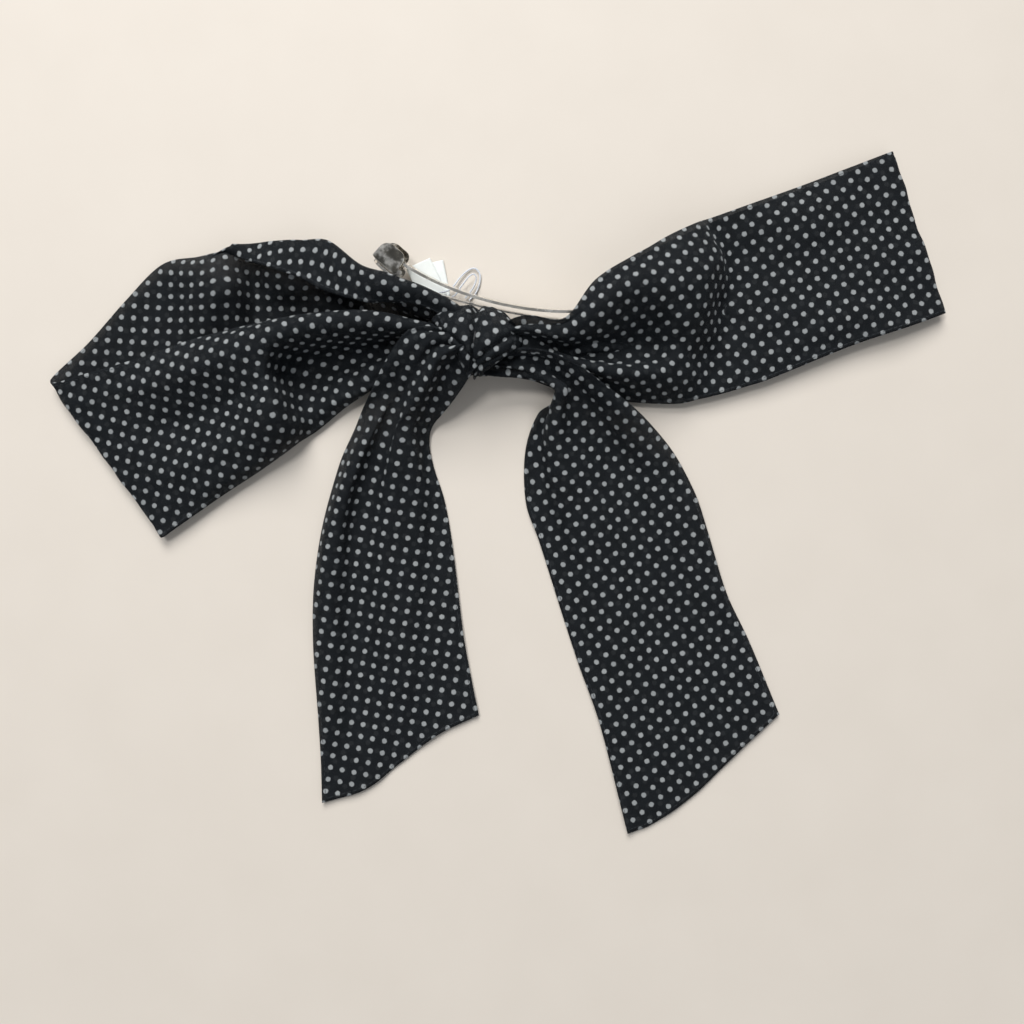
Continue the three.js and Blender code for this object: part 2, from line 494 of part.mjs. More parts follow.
// ---- Label and its threads ---------------------------------------------------------------------
// One strip of blank paper folded in two, lying under the clip with its fold outwards.
const LABEL = [
  [[-27.4, 57.4, 0.45], [-25, 57, 0.45], [-22.6, 56.6, 0.45], [-20.2, 56.2, 0.45], [-18, 55.8, 0.45]],
  [[-26.2, 63, 0.45], [-24, 62.8, 0.45], [-21.8, 62.6, 0.45], [-19.6, 62.4, 0.45], [-17.4, 62.2, 0.45]],
  [[-25, 69, 0.5], [-22.9, 69.2, 0.5], [-20.8, 69.4, 0.5], [-18.7, 69.6, 0.5], [-16.8, 69.8, 0.5]],
  [[-24.8, 69.8, 0.95], [-22.7, 70, 0.95], [-20.6, 70.2, 0.95], [-18.5, 70.4, 0.95], [-16.6, 70.6, 0.95]],
  [[-25, 69, 1.4], [-22.9, 69.2, 1.4], [-20.8, 69.4, 1.4], [-18.7, 69.6, 1.4], [-16.6, 69.8, 1.4]],
  [[-25.6, 63, 1.35], [-23.4, 62.8, 1.35], [-21.2, 62.6, 1.35], [-19, 62.4, 1.35], [-15.6, 62, 1.35]],
  [[-26.6, 57.8, 1.3], [-24.2, 57.4, 1.3], [-21.8, 57, 1.3], [-18.4, 56.8, 1.3], [-14.8, 56.6, 1.3]],
];
put('label', ribbon(LABEL, 36, 4, 0.3), LABEL_PAPER);

// Two thread loops that hang the label on the clip.
const HANG_OUTER = [
  [-26, 61, 2.2], [-20, 59.8, 2.2], [-14.6, 60.6, 2.2], [-11.3, 64.6, 1.4], [-9, 66.8, 0.9], [-6.9, 67.4, 0.9],
  [-5.4, 65.6, 0.9], [-5.6, 62.6, 0.9], [-6.8, 59.8, 0.8], [-8.6, 57.9, 0.8],
];
const HANG_INNER = [
  [-27, 59.4, 2.2], [-20, 58.2, 2.2], [-13.6, 58.6, 2.2], [-11, 61.6, 2.6], [-8.7, 64.4, 3], [-7.3, 65.2, 3],
  [-6.4, 64.2, 2.6], [-7.4, 61.4, 1.8], [-9.8, 58.4, 1.2],
];
put('hang_thread_outer', thread(HANG_OUTER, 0.25, 60), LABEL_THREAD);
put('hang_thread_inner', thread(HANG_INNER, 0.25, 60), LABEL_THREAD);

// The lowest point rests on the table.
object.position.z = -new THREE.Box3().setFromObject(object).min.z;

export default object;
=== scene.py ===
"""Chiffon hair bow on a French barrette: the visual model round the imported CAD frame.

The bow lies face up on a table. Its ribbons are two-layer chiffon, printed with light dots, and every
ribbon is a sheet whose own flat coordinates (metres along and across the cloth) carry the print and weave.
"""

import logging
import math
from dataclasses import dataclass, field
from enum import Enum
from typing import Sequence

import bmesh
import bpy
import numpy as np
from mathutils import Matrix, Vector


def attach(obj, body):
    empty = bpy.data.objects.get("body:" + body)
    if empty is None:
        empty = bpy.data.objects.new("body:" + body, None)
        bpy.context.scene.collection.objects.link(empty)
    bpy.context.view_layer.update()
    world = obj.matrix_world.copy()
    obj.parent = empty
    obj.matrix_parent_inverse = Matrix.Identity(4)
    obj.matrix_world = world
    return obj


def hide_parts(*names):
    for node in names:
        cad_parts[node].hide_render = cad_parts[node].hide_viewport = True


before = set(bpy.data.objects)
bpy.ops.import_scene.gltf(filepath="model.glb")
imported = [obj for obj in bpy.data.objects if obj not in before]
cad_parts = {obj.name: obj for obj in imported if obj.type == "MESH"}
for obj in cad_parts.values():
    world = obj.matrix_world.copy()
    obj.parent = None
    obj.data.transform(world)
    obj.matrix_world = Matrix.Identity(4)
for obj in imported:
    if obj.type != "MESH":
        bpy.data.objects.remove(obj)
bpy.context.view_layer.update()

LOG = logging.getLogger("hair_bow")
MM = 0.001              # one millimetre, in metres
RIBBON_WIDTH = 50.0     # the ribbon's cut width, in millimetres
DROP = 0.196            # how far the ribbons are let down onto the table, in millimetres
FLAT_MAP = "flat"       # map of metres along and across the cloth as it was cut
HEM_MAP = "hem"         # map of metres along the nearest hem and in from it

Row = Sequence[tuple[float, float, float]]
Colour = tuple[float, float, float, float]
Socket = bpy.types.NodeSocket


class Body(Enum):
    """The rigid body of the frame that the new pieces ride on."""

    BOW = "bow"


class Slot(Enum):
    """The record's material slots named for the new pieces; the pieces make their own finishes and nothing
    here reads these.
    """

    CHIFFON = "chiffon"
    LABEL_PAPER = "label_paper"
    LABEL_THREAD = "label_thread"


# ---------- finishes
class Shader:
    """A material's node tree, with short calls that add and join nodes."""

    def __init__(self, name: str) -> None:
        """Makes an empty material with an output node.

        Args:
            name: the material's name.
        """
        self.material = bpy.data.materials.new(name)
        self.material.use_nodes = True
        self.tree = self.material.node_tree
        self.tree.nodes.clear()
        output = self.tree.nodes.new("ShaderNodeOutputMaterial")
        self.surface = self.tree.nodes.new("ShaderNodeBsdfPrincipled")
        self.tree.links.new(self.surface.outputs["BSDF"], output.inputs["Surface"])

    def feed(self, socket: Socket, value: object) -> None:
        """Puts a value or another node's output on a socket.

        Args:
            socket: the socket to feed.
            value: a plain value, or the output socket of another node.
        """
        if isinstance(value, Socket):
            self.tree.links.new(value, socket)
        else:
            socket.default_value = value

    def node(self, kind: str, inputs: dict | None = None, **settings: object) -> bpy.types.Node:
        """Adds a node.

        Args:
            kind: the node's type name, without the ShaderNode prefix.
            inputs: values or outputs for its sockets, by socket name or number.
            **settings: the node's own settings.

        Returns:
            The new node.
        """
        node = self.tree.nodes.new("ShaderNode" + kind)
        for key, value in settings.items():
            setattr(node, key, value)
        for key, value in (inputs or {}).items():
            self.feed(node.inputs[key], value)
        return node

    def math(self, operation: str, a: object, b: object = 0.0, clamp: bool = False) -> Socket:
        """Adds a Math node and returns its result."""
        return self.node("Math", {0: a, 1: b}, operation=operation, use_clamp=clamp).outputs[0]

    def times(self, a: object, b: object) -> Socket:
        """Multiplies two values and returns the result."""
        return self.math("MULTIPLY", a, b)

    def vector(self, operation: str, a: object, b: object = (0.0, 0.0, 0.0)) -> Socket:
        """Adds a Vector Math node and returns its vector."""
        return self.node("VectorMath", {0: a, 1: b}, operation=operation).outputs[0]

    def span(self, value: object, low: float, high: float, to_low: float, to_high: float) -> Socket:
        """Maps a value smoothly from one span to another and returns the result."""
        inputs = {"Value": value, "From Min": low, "From Max": high, "To Min": to_low, "To Max": to_high}
        return self.node("MapRange", inputs, interpolation_type="SMOOTHSTEP").outputs[0]

    def blend(self, factor: object, a: object, b: object) -> Socket:
        """Mixes two colours.

        Args:
            factor: how much of the second colour shows, from 0 to 1.
            a: the first colour.
            b: the second colour.

        Returns:
            The mixed colour.
        """
        node = self.node("Mix", data_type="RGBA")
        self.feed(node.inputs[0], factor)
        self.feed(node.inputs[6], a)
        self.feed(node.inputs[7], b)
        return node.outputs[2]

    def noise(self, place: Socket, scale: float, detail: float = 3.0) -> Socket:
        """Adds a noise texture and returns its value."""
        return self.node("TexNoise", {"Vector": place, "Scale": scale, "Detail": detail}).outputs["Fac"]

    def bump(self, height: object, distance: float, strength: float = 1.0) -> None:
        """Raises the surface by a height pattern."""
        node = self.node("Bump", {"Height": height, "Distance": distance, "Strength": strength})
        self.feed(self.surface.inputs["Normal"], node.outputs[0])


def rgba(red: float, green: float, blue: float) -> Colour:
    """A linear colour with full alpha."""
    return (red, green, blue, 1.0)


@dataclass(frozen=True)
class Chiffon:
    """Two-layer black chiffon printed with light dots on a square lattice; lengths are in millimetres."""

    name: str
    turn: float
    cloth: Colour = rgba(0.0036, 0.0052, 0.0072)
    cloth_light: Colour = rgba(0.0088, 0.0116, 0.0148)
    dot: Colour = rgba(0.33, 0.35, 0.36)
    dot_fade: tuple[float, float, float] = (0.82, 0.83, 0.84)
    thread: Colour = rgba(0.035, 0.04, 0.046)
    sheen_tint: Colour = rgba(0.62, 0.7, 0.8)
    pitch: float = 3.6
    dot_radius: float = 0.74
    dot_edge: float = 0.045
    layer_turn: float = 31.0
    layer_shift: float = 0.37
    show_through: float = 0.028
    hem: float = 0.9
    hem_edge: float = 0.25
    stitch: float = 1.7
    stitch_in: float = 0.1
    yarn: float = 0.34
    cover: float = 0.87
    crepe: float = 1700.0
    crepe_sway: float = 0.00042
    slub: float = 260.0
    cloud: float = 55.0
    relief: float = 0.00014

    def dots(self, shader: Shader, place: Socket, turn: float, shift: float) -> Socket:
        """The print: 1 on a dot, 0 between dots.

        Args:
            shader: the material being made.
            place: the cloth's flat coordinates.
            turn: the lattice's angle from the ribbon's length, in degrees.
            shift: how far the lattice is moved, in pitches.

        Returns:
            The pattern's value.
        """
        size = 1.0 / (self.pitch * MM)
        turned = shader.node("Mapping", {
            "Vector": place, "Rotation": (0.0, 0.0, math.radians(turn)), "Scale": (size, size, 1.0),
            "Location": (shift, shift * 0.6, 0.0)}).outputs[0]
        middle = shader.vector("SUBTRACT", shader.vector("FRACTION", turned), (0.5, 0.5, 0.0))
        flat = shader.vector("MULTIPLY", middle, (1.0, 1.0, 0.0))
        away = shader.node("VectorMath", {0: flat}, operation="LENGTH").outputs["Value"]
        radius = self.dot_radius / self.pitch
        return shader.span(away, radius - self.dot_edge, radius + self.dot_edge, 1.0, 0.0)

    def swayed(self, shader: Shader, plain: Socket) -> Socket:
        """The flat coordinates, pushed about a little by the crepe of the yarn.

        Args:
            shader: the material being made.
            plain: the cloth's flat coordinates.

        Returns:
            The moved coordinates.
        """
        crepe = shader.node("TexNoise", {"Vector": plain, "Scale": self.crepe, "Detail": 2.0})
        sway = shader.vector("SUBTRACT", crepe.outputs["Color"], (0.5, 0.5, 0.5))
        amount = shader.vector("MULTIPLY", sway, (self.crepe_sway, self.crepe_sway, 0.0))
        return shader.vector("ADD", plain, amount)

    def weave(self, shader: Shader, place: Socket) -> Socket:
        """The plain weave: 1 where a yarn stands up, 0 in a gap.

        Args:
            shader: the material being made.
            place: the cloth's flat coordinates.

        Returns:
            The pattern's value.
        """
        parts = shader.node("SeparateXYZ", {"Vector": place}).outputs
        wave = 2.0 * math.pi / (self.yarn * MM)
        warp = shader.math("SINE", shader.times(parts[0], wave))
        weft = shader.math("SINE", shader.times(parts[1], wave))
        return shader.span(shader.times(warp, weft), -1.0, 1.0, 0.0, 1.0)

    def hems(self, shader: Shader) -> tuple[Socket, Socket]:
        """The rolled hem along the edges and its line of stitches.

        Args:
            shader: the material being made.

        Returns:
            The roll's value and the stitches' value.
        """
        hem = shader.node("SeparateXYZ", {"Vector": shader.node("UVMap", uv_map=HEM_MAP).outputs[0]}).outputs
        roll = shader.span(hem[1], 0.0, self.hem * MM, 0.0, 1.0)
        rolled = shader.times(roll, shader.math("SUBTRACT", 1.0, shader.span(
            hem[1], self.hem * MM, (self.hem + self.hem_edge) * MM, 0.0, 1.0)))
        step = shader.math("FRACT", shader.times(hem[0], 1.0 / (self.stitch * MM)))
        dash = shader.span(shader.math("ABSOLUTE", shader.math("SUBTRACT", step, 0.5)), 0.3, 0.36, 1.0, 0.0)
        off = shader.math("ABSOLUTE", shader.math("SUBTRACT", hem[1], (self.hem + self.stitch_in) * MM))
        seam = shader.times(dash, shader.span(off, 0.06 * MM, 0.14 * MM, 1.0, 0.0))
        return rolled, seam

    def make(self) -> bpy.types.Material:
        """Builds the material.

        Returns:
            The chiffon material.
        """
        shader = Shader(self.name)
        plain = shader.node("UVMap", uv_map=FLAT_MAP).outputs[0]
        place = self.swayed(shader, plain)
        print_front = self.dots(shader, place, self.turn, 0.0)
        print_behind = self.dots(shader, place, self.turn + self.layer_turn, self.layer_shift)
        weave = self.weave(shader, place)
        slub = shader.noise(plain, self.slub, 5.0)
        cloud = shader.noise(plain, self.cloud, 2.0)
        tone = shader.times(shader.span(slub, 0.3, 0.72, 0.0, 1.0), 0.55)
        tone = shader.math("ADD", tone, shader.times(weave, 0.35), True)
        cloth = shader.blend(tone, self.cloth, self.cloth_light)
        cloth = shader.blend(shader.times(print_behind, self.show_through), cloth, self.dot)
        worn = shader.times(print_front, shader.span(cloud, 0.2, 0.75, 0.86, 1.0))
        faded = rgba(*(value * fade for value, fade in zip(self.dot, self.dot_fade)))
        ink = shader.blend(shader.span(slub, 0.25, 0.75, 0.0, 1.0), self.dot, faded)
        colour = shader.blend(worn, cloth, ink)
        surface = shader.surface.inputs
        shader.feed(surface["Roughness"], shader.span(weave, 0.0, 1.0, 0.72, 0.88))
        open_weave = shader.math("ADD", shader.span(weave, 0.0, 1.0, self.cover - 0.1, self.cover + 0.06),
                                 shader.times(print_front, 0.12), True)
        shader.feed(surface["Alpha"], open_weave)
        surface["Sheen Weight"].default_value = 0.035
        surface["Sheen Roughness"].default_value = 0.4
        surface["Sheen Tint"].default_value = self.sheen_tint
        surface["Specular IOR Level"].default_value = 0.2
        rolled, seam = self.hems(shader)
        sewn = shader.blend(shader.times(seam, 0.8), colour, self.thread)
        shader.feed(surface["Base Color"], sewn)
        height = shader.math("ADD", shader.times(weave, 0.5), shader.times(slub, 0.5))
        height = shader.math("ADD", height, shader.times(shader.math("ADD", rolled, seam), 0.9))
        shader.bump(height, self.relief, 0.65)
        return shader.material


@dataclass(frozen=True)
class PlatedMetal:
    """Bright plate or satin spring steel with fine draw lines, handling marks and duller patches; on the
    finger tabs the patches are near black and are painted dark reflections, for a mirror's dark and bright
    contrast.
    """

    name: str
    colour: Colour
    dull_and_reflection: Colour
    smooth: float = 0.16
    rough: float = 0.34
    patch: float = 90.0
    mark: float = 420.0
    dent: float = 230.0
    draw_turn: float = 7.5
    draw_scale: tuple[float, float, float] = (90.0, 1500.0, 1500.0)

    def make(self) -> bpy.types.Material:
        """Builds the material.

        Returns:
            The metal material.
        """
        shader = Shader(self.name)
        place = shader.node("TexCoord").outputs["Object"]
        lines = shader.node("Mapping", {"Vector": place, "Rotation": (0.0, 0.0, math.radians(self.draw_turn)),
                                        "Scale": self.draw_scale}).outputs[0]
        drawn = shader.noise(lines, 1.0, 3.0)
        marks = shader.noise(place, self.mark, 6.0)
        stain_and_reflection = shader.span(shader.noise(place, self.patch, 3.0), 0.4, 0.6, 0.0, 1.0)
        surface = shader.surface.inputs
        # Patches of the second colour: duller plate on the bright parts, and painted dark reflections on the
        # finger tabs.
        shader.feed(surface["Base Color"], shader.blend(stain_and_reflection, self.colour, self.dull_and_reflection))
        shader.feed(surface["Roughness"], shader.span(marks, 0.3, 0.7, self.smooth, self.rough))
        surface["Metallic"].default_value = 1.0
        dents = shader.noise(place, self.dent, 1.0)
        height = shader.math("ADD", shader.times(drawn, 0.16), shader.times(marks, 0.1))
        shader.bump(shader.math("ADD", height, dents), 0.0004, 0.55)
        return shader.material


@dataclass(frozen=True)
class LabelPaper:
    """Smooth white label stock with a faint fibre."""

    name: str = "label_paper"
    colour: Colour = rgba(0.82, 0.86, 0.85)
    shade: Colour = rgba(0.7, 0.74, 0.75)
    fibre: float = 2600.0
    cloud: float = 160.0

    def make(self) -> bpy.types.Material:
        """Builds the material.

        Returns:
            The paper material.
        """
        shader = Shader(self.name)
        place = shader.node("TexCoord").outputs["Object"]
        fibre = shader.noise(place, self.fibre, 5.0)
        cloud = shader.span(shader.noise(place, self.cloud, 2.0), 0.35, 0.75, 0.0, 0.6)
        surface = shader.surface.inputs
        shader.feed(surface["Base Color"], shader.blend(cloud, self.colour, self.shade))
        shader.feed(surface["Roughness"], shader.span(fibre, 0.3, 0.7, 0.5, 0.68))
        surface["Subsurface Weight"].default_value = 0.08
        surface["Subsurface Radius"].default_value = (0.001, 0.001, 0.001)
        shader.bump(fibre, 0.00003, 0.5)
        return shader.material


@dataclass(frozen=True)
class Thread:
    """Twisted thread; its twist runs slantwise across the strand, with a pitch in millimetres."""

    name: str
    colour: Colour
    shade: Colour
    twist: float = 0.9
    cover: float = 1.0
    fuzz: float = 3000.0

    def make(self) -> bpy.types.Material:
        """Builds the material.

        Returns:
            The thread material.
        """
        shader = Shader(self.name)
        place = shader.node("TexCoord").outputs["Object"]
        parts = shader.node("SeparateXYZ", {"Vector": place}).outputs
        level = shader.math("ADD", parts[0], parts[1])
        along = shader.math("ADD", level, shader.times(parts[2], 1.6))
        ply = shader.math("SINE", shader.times(along, 2.0 * math.pi / (self.twist * MM)))
        fuzz = shader.noise(place, self.fuzz, 3.0)
        surface = shader.surface.inputs
        # The plies are painted lighter on their crowns and painted shade in the grooves between them.
        lit = shader.span(ply, -1.0, 1.0, 0.0, 1.0)
        shader.feed(surface["Base Color"], shader.blend(lit, self.shade, self.colour))
        shader.feed(surface["Roughness"], shader.span(fuzz, 0.3, 0.7, 0.38, 0.62))
        surface["Alpha"].default_value = self.cover
        shader.bump(shader.math("ADD", ply, fuzz), 0.00005, 0.6)
        return shader.material


# ---------- ribbons
def spline(points: np.ndarray, at: np.ndarray) -> np.ndarray:
    """Catmull-Rom curve through points, on the first axis.

    Args:
        points: the points, first axis along the curve.
        at: places from 0 to the number of points less one.

    Returns:
        The curve's points at those places.
    """
    count = len(points)
    first = 2 * points[0] - points[1]
    last = 2 * points[-1] - points[-2]
    padded = np.concatenate([first[None], points, last[None]])
    index = np.clip(np.floor(at).astype(int), 0, count - 2)
    shape = (-1,) + (1,) * (points.ndim - 1)
    t = (at - index).reshape(shape)
    a, b, c, d = (padded[index + k] for k in range(4))
    square = (2 * a - 5 * b + 4 * c - d) * t ** 2
    return 0.5 * (2 * b + (c - a) * t + square + (3 * b - 3 * c + d - a) * t ** 3)


def spread(points: np.ndarray, rows: np.ndarray, lanes: np.ndarray) -> np.ndarray:
    """Fills a coarse grid of points out to a fine one, whose rows and lanes are at the given places."""
    tall = np.swapaxes(spline(points, rows), 0, 1)
    return np.swapaxes(spline(tall, lanes), 0, 1)


def even_spread(rows: Sequence[Row], along: int, across: int) -> np.ndarray:
    """Fills rows of points out to a fine grid, with the given numbers of steps along and across it."""
    points = np.array(rows, float)
    return spread(points, np.linspace(0, len(points) - 1, along + 1),
                  np.linspace(0, points.shape[1] - 1, across + 1))


def surface_normals(points: np.ndarray) -> np.ndarray:
    """Unit normals of a grid of points, one for each point."""
    normals = np.cross(np.gradient(points, axis=0), np.gradient(points, axis=1))
    return normals / np.maximum(np.linalg.norm(normals, axis=2, keepdims=True), 1e-9)


def flatten(points: np.ndarray, start: np.ndarray, stride: int = 6, rounds: int = 260) -> np.ndarray:
    """Lays a surface flat with the least stretch, as the cloth lay before it was tied.

    Distances between neighbours are measured along the surface, and the flat places are moved until theirs
    agree with them.

    Args:
        points: the surface, as a grid of points whose sides are whole numbers of strides.
        start: a first guess of the flat places, with the same sides.
        stride: how many grid steps are taken together.
        rounds: how many times the places are moved.

    Returns:
        The flat places, with the same sides as the surface.
    """
    rows, lanes = points.shape[:2]
    coarse = start[::stride, ::stride]
    tall, wide = coarse.shape[:2]
    number = np.arange(tall * wide).reshape(tall, wide)
    pairs, lengths = [], []
    for i, j in ((1, 0), (0, 1), (1, 1), (1, -1)):
        path = np.zeros((tall - i, wide - abs(j)))
        for k in range(stride):
            row = np.arange(tall - i) * stride + (k if i else 0)
            lane = np.arange(wide - abs(j)) * stride + {1: k, 0: 0, -1: stride - k}[j]
            here = points[row[:, None], lane[None, :]]
            there = points[(row + i)[:, None], (lane + j)[None, :]]
            path += np.linalg.norm(there - here, axis=2)
        first = number[:tall - i, max(-j, 0):wide - max(j, 0)]
        second = number[i:, max(j, 0):wide - max(-j, 0)]
        pairs.append(np.stack([first.ravel(), second.ravel()], axis=1))
        lengths.append(path.ravel())
    pair, length = np.concatenate(pairs), np.concatenate(lengths)
    weight = 1 / np.maximum(length, 0.05) ** 2
    count = tall * wide
    stiffness = np.full((count, count), weight.mean() / count)
    for i, j, sign in ((0, 1, -1), (1, 0, -1), (0, 0, 1), (1, 1, 1)):
        np.add.at(stiffness, (pair[:, i], pair[:, j]), sign * weight)
    inverse = np.linalg.inv(stiffness)
    place = coarse.reshape(-1, 2).copy()
    for _ in range(rounds):
        apart = place[pair[:, 0]] - place[pair[:, 1]]
        pull = (weight * length / np.maximum(np.linalg.norm(apart, axis=1), 1e-6))[:, None] * apart
        total = np.zeros_like(place)
        np.add.at(total, pair[:, 0], pull)
        np.add.at(total, pair[:, 1], -pull)
        place = inverse @ total
    return spread(place.reshape(tall, wide, 2), np.arange(rows) / stride, np.arange(lanes) / stride)


def cloth_grid(points: np.ndarray, cloth: np.ndarray, hem: np.ndarray) -> bmesh.types.BMesh:
    """Makes a sheet of quads whose vertices are moved onto a surface.

    Args:
        points: the surface in millimetres, as a grid of points.
        cloth: the flat place of each point, in millimetres.
        hem: how far each point lies along its nearest hem and in from it, in millimetres.

    Returns:
        The mesh.
    """
    rows, lanes = points.shape[0] - 1, points.shape[1] - 1
    mesh = bmesh.new()
    bmesh.ops.create_grid(mesh, x_segments=rows, y_segments=lanes, size=0.5)
    mesh.verts.ensure_lookup_table()
    flat = mesh.loops.layers.uv.new(FLAT_MAP)
    edge = mesh.loops.layers.uv.new(HEM_MAP)
    places = np.array([vert.co for vert in mesh.verts])
    row = np.rint((places[:, 0] + 0.5) * rows).astype(int)
    lane = np.rint((places[:, 1] + 0.5) * lanes).astype(int)
    for vert, i, j in zip(mesh.verts, row, lane):
        vert.co = Vector(points[i, j] * MM)
    for face in mesh.faces:
        face.smooth = True
        for loop in face.loops:
            loop[flat].uv = cloth[row[loop.vert.index], lane[loop.vert.index]] * MM
            loop[edge].uv = hem[row[loop.vert.index], lane[loop.vert.index]] * MM
    return mesh


def as_piece(mesh: bmesh.types.BMesh, name: str, piece_name: str) -> bpy.types.Object:
    """Puts a finished mesh into the scene.

    Args:
        mesh: the mesh, which is freed.
        name: the mesh data's name.
        piece_name: the object's name.

    Returns:
        The new object, at the origin.
    """
    data = bpy.data.meshes.new(name)
    mesh.to_mesh(data)
    mesh.free()
    piece = bpy.data.objects.new(piece_name, data)
    bpy.context.scene.collection.objects.link(piece)
    return piece


def thicken(piece: bpy.types.Object, thickness: float, *finishes: Chiffon | LabelPaper) -> None:
    """Gives a sheet its thickness and finishes.

    Args:
        piece: the sheet.
        thickness: its thickness in millimetres.
        *finishes: the upper side's finish, then the other side's where that has its own.
    """
    for finish in finishes:
        piece.data.materials.append(finish.make())
    wall = piece.modifiers.new("layers", "SOLIDIFY")
    wall.thickness = thickness * MM
    wall.offset = 0.0
    wall.material_offset = len(finishes) - 1


@dataclass
class Ribbon:
    """One length of ribbon, shaped by rows of points across it; lengths are in millimetres.

    Tight pleats gather it at the waist, as far as pleat_reach says in parts of its length from its first row,
    and pleat_reach_end from its last. Long soft folds take over from them.
    """

    name: str
    rows: Sequence[Row]
    turn: float
    along: int = 264
    across: int = 72
    pleats: float = 2.6
    pleat_depth: float = 1.7
    folds: float = 1.7
    fold_depth: float = 2.2
    depth_rounds: int = 16
    depth_blend: int = 6
    lowest: float = 0.35
    landing: float = 0.6
    pleat_reach: tuple[float, float] = (0.0, 0.22)
    pleat_reach_end: tuple[float, float] | None = None
    crinkle: float = 0.35
    seed: int = 1
    thickness: float = 0.36
    held: str = "gathered"
    rests_on: tuple[str, ...] = ("base_plate",)
    cut_end: bool = False
    flat_length: float = field(default=0.0, init=False)

    @property
    def phase(self) -> float:
        """Where the ribbon's waves start, so that no two ribbons fold alike."""
        return self.seed * 1.3

    def net(self) -> np.ndarray:
        """The ribbon's middle surface without its small folds, as a grid of points."""
        rows = np.array(self.rows, float) - (0.0, 0.0, DROP)
        return even_spread(rows, self.along, self.across)

    def gathering(self, u: np.ndarray) -> np.ndarray:
        """How tightly the ribbon is gathered along its length.

        Args:
            u: places along the ribbon, from 0 to 1.

        Returns:
            1 where the waist's pleats are at their fullest, 0 where there are only soft folds.
        """
        near, far = self.pleat_reach
        gathered = np.clip((far - u) / (far - near), 0, 1)
        if self.pleat_reach_end:
            low, high = self.pleat_reach_end
            gathered = np.maximum(gathered, np.clip((u - low) / (high - low), 0, 1))
        return gathered * gathered * (3 - 2 * gathered)

    def folds_across(self, u: np.ndarray, v: np.ndarray, gathered: np.ndarray) -> np.ndarray:
        """The shape of the pleats and soft folds, with a depth of about 1.

        Args:
            u: places along the ribbon, from 0 to 1.
            v: places across it, from 0 to 1.
            gathered: how tightly it is gathered at each place along it.

        Returns:
            The height of the folds at each point of the grid.
        """
        phase = self.phase
        bend = v + 0.04 * np.sin(5.1 * v + phase) + 0.03 * np.sin(9 * u + 3 * v + phase)
        tight = np.sin(2 * np.pi * self.pleats * bend + phase)
        tight = tight + 0.35 * np.sin(2 * np.pi * (self.pleats * 1.62) * bend - 2 * phase)
        soft = np.sin(2 * np.pi * self.folds * bend + 2 * phase)
        soft = soft + 0.3 * np.sin(2 * np.pi * 3.1 * bend + 7 * u)
        return gathered * tight + (1 - gathered) * soft

    def depth(self, grid: np.ndarray, normal: np.ndarray, wave: np.ndarray,
              deepest: np.ndarray) -> np.ndarray:
        """Finds the fold depth that gives each row the ribbon's own width, by halving.

        Args:
            grid: the middle surface.
            normal: its normals.
            wave: the shape of the folds.
            deepest: the most that the folds may be deep in each row.

        Returns:
            The depth in each row, smoothed along the ribbon.
        """
        low, high = np.zeros(self.along + 1), deepest
        for _ in range(self.depth_rounds):
            middle = (low + high) / 2
            lanes = grid + normal * (middle[:, None] * wave)[:, :, None]
            short = np.linalg.norm(np.diff(lanes, axis=1), axis=2).sum(1) < RIBBON_WIDTH
            low, high = np.where(short, middle, low), np.where(short, high, middle)
        window = 2 * self.depth_blend + 1
        padded = np.pad((low + high) / 2, self.depth_blend, mode="edge")
        return np.convolve(padded, np.ones(window) / window, "valid")[:, None]

    def crinkles(self, u: np.ndarray, v: np.ndarray) -> np.ndarray:
        """The small unevenness of handled cloth at places along and across it, with a depth of about 1."""
        broad = np.sin(17 * u + 6.3 * v + self.phase) * np.sin(5 * u - 9 * v + 2 * self.phase)
        return broad + 0.6 * np.sin(41 * u - 13 * v + self.phase) * np.sin(23 * v + 9 * u + self.phase)

    def fold(self, grid: np.ndarray) -> np.ndarray:
        """Adds the gathers at the waist, the long soft folds and the crinkle of the cloth.

        Args:
            grid: the middle surface.

        Returns:
            The folded surface, whose width along the cloth is the ribbon's own wherever depth allows.
        """
        u = np.linspace(0, 1, self.along + 1)[:, None]
        v = np.linspace(0, 1, self.across + 1)[None, :]
        normal = surface_normals(grid)
        gathered = self.gathering(u)
        wave = self.folds_across(u, v, gathered)
        deepest = self.pleat_depth * gathered[:, 0] + self.fold_depth * (1 - gathered[:, 0])
        depth = self.depth(grid, normal, wave, deepest)
        crinkles = self.crinkle * self.crinkles(u, v) * (1 - 0.6 * gathered)
        folded = grid + normal * (depth * wave + crinkles)[:, :, None]
        lift = folded[:, :, 2] - self.lowest
        folded[:, :, 2] = self.lowest + 0.5 * (lift + np.sqrt(lift ** 2 + self.landing))
        return folded

    def build(self) -> bpy.types.Object:
        """Builds the ribbon's sheet and its flat map.

        Returns:
            The ribbon's object.
        """
        grid = self.fold(self.net())
        steps = np.linalg.norm(np.diff(grid, axis=0), axis=2)
        length = np.concatenate([np.zeros((1, self.across + 1)), np.cumsum(steps, axis=0)])
        self.flat_length = float(length[-1].mean())
        width = np.broadcast_to(np.linspace(0, RIBBON_WIDTH, self.across + 1), length.shape)
        cloth = flatten(grid, np.stack([length, width], axis=2))
        side = np.minimum(width, RIBBON_WIDTH - width)
        end = length[-1:] - length if self.cut_end else np.full_like(length, np.inf)
        hem = np.where((side <= end)[:, :, None], np.stack([length, side], 2), np.stack([width, end], 2))
        mesh = cloth_grid(grid, cloth, hem)
        bmesh.ops.reverse_faces(mesh, faces=mesh.faces)
        return as_piece(mesh, self.name, self.name + "_cloth")

    def make(self) -> None:
        piece = self.build()
        thicken(piece, self.thickness, Chiffon(self.name + "_chiffon", self.turn),
                Chiffon(self.name + "_chiffon_inside", self.turn))
        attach(piece, Body.BOW.value)
        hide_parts(self.name)
        LOG.info("%s: %.0f mm of ribbon", self.name, self.flat_length)


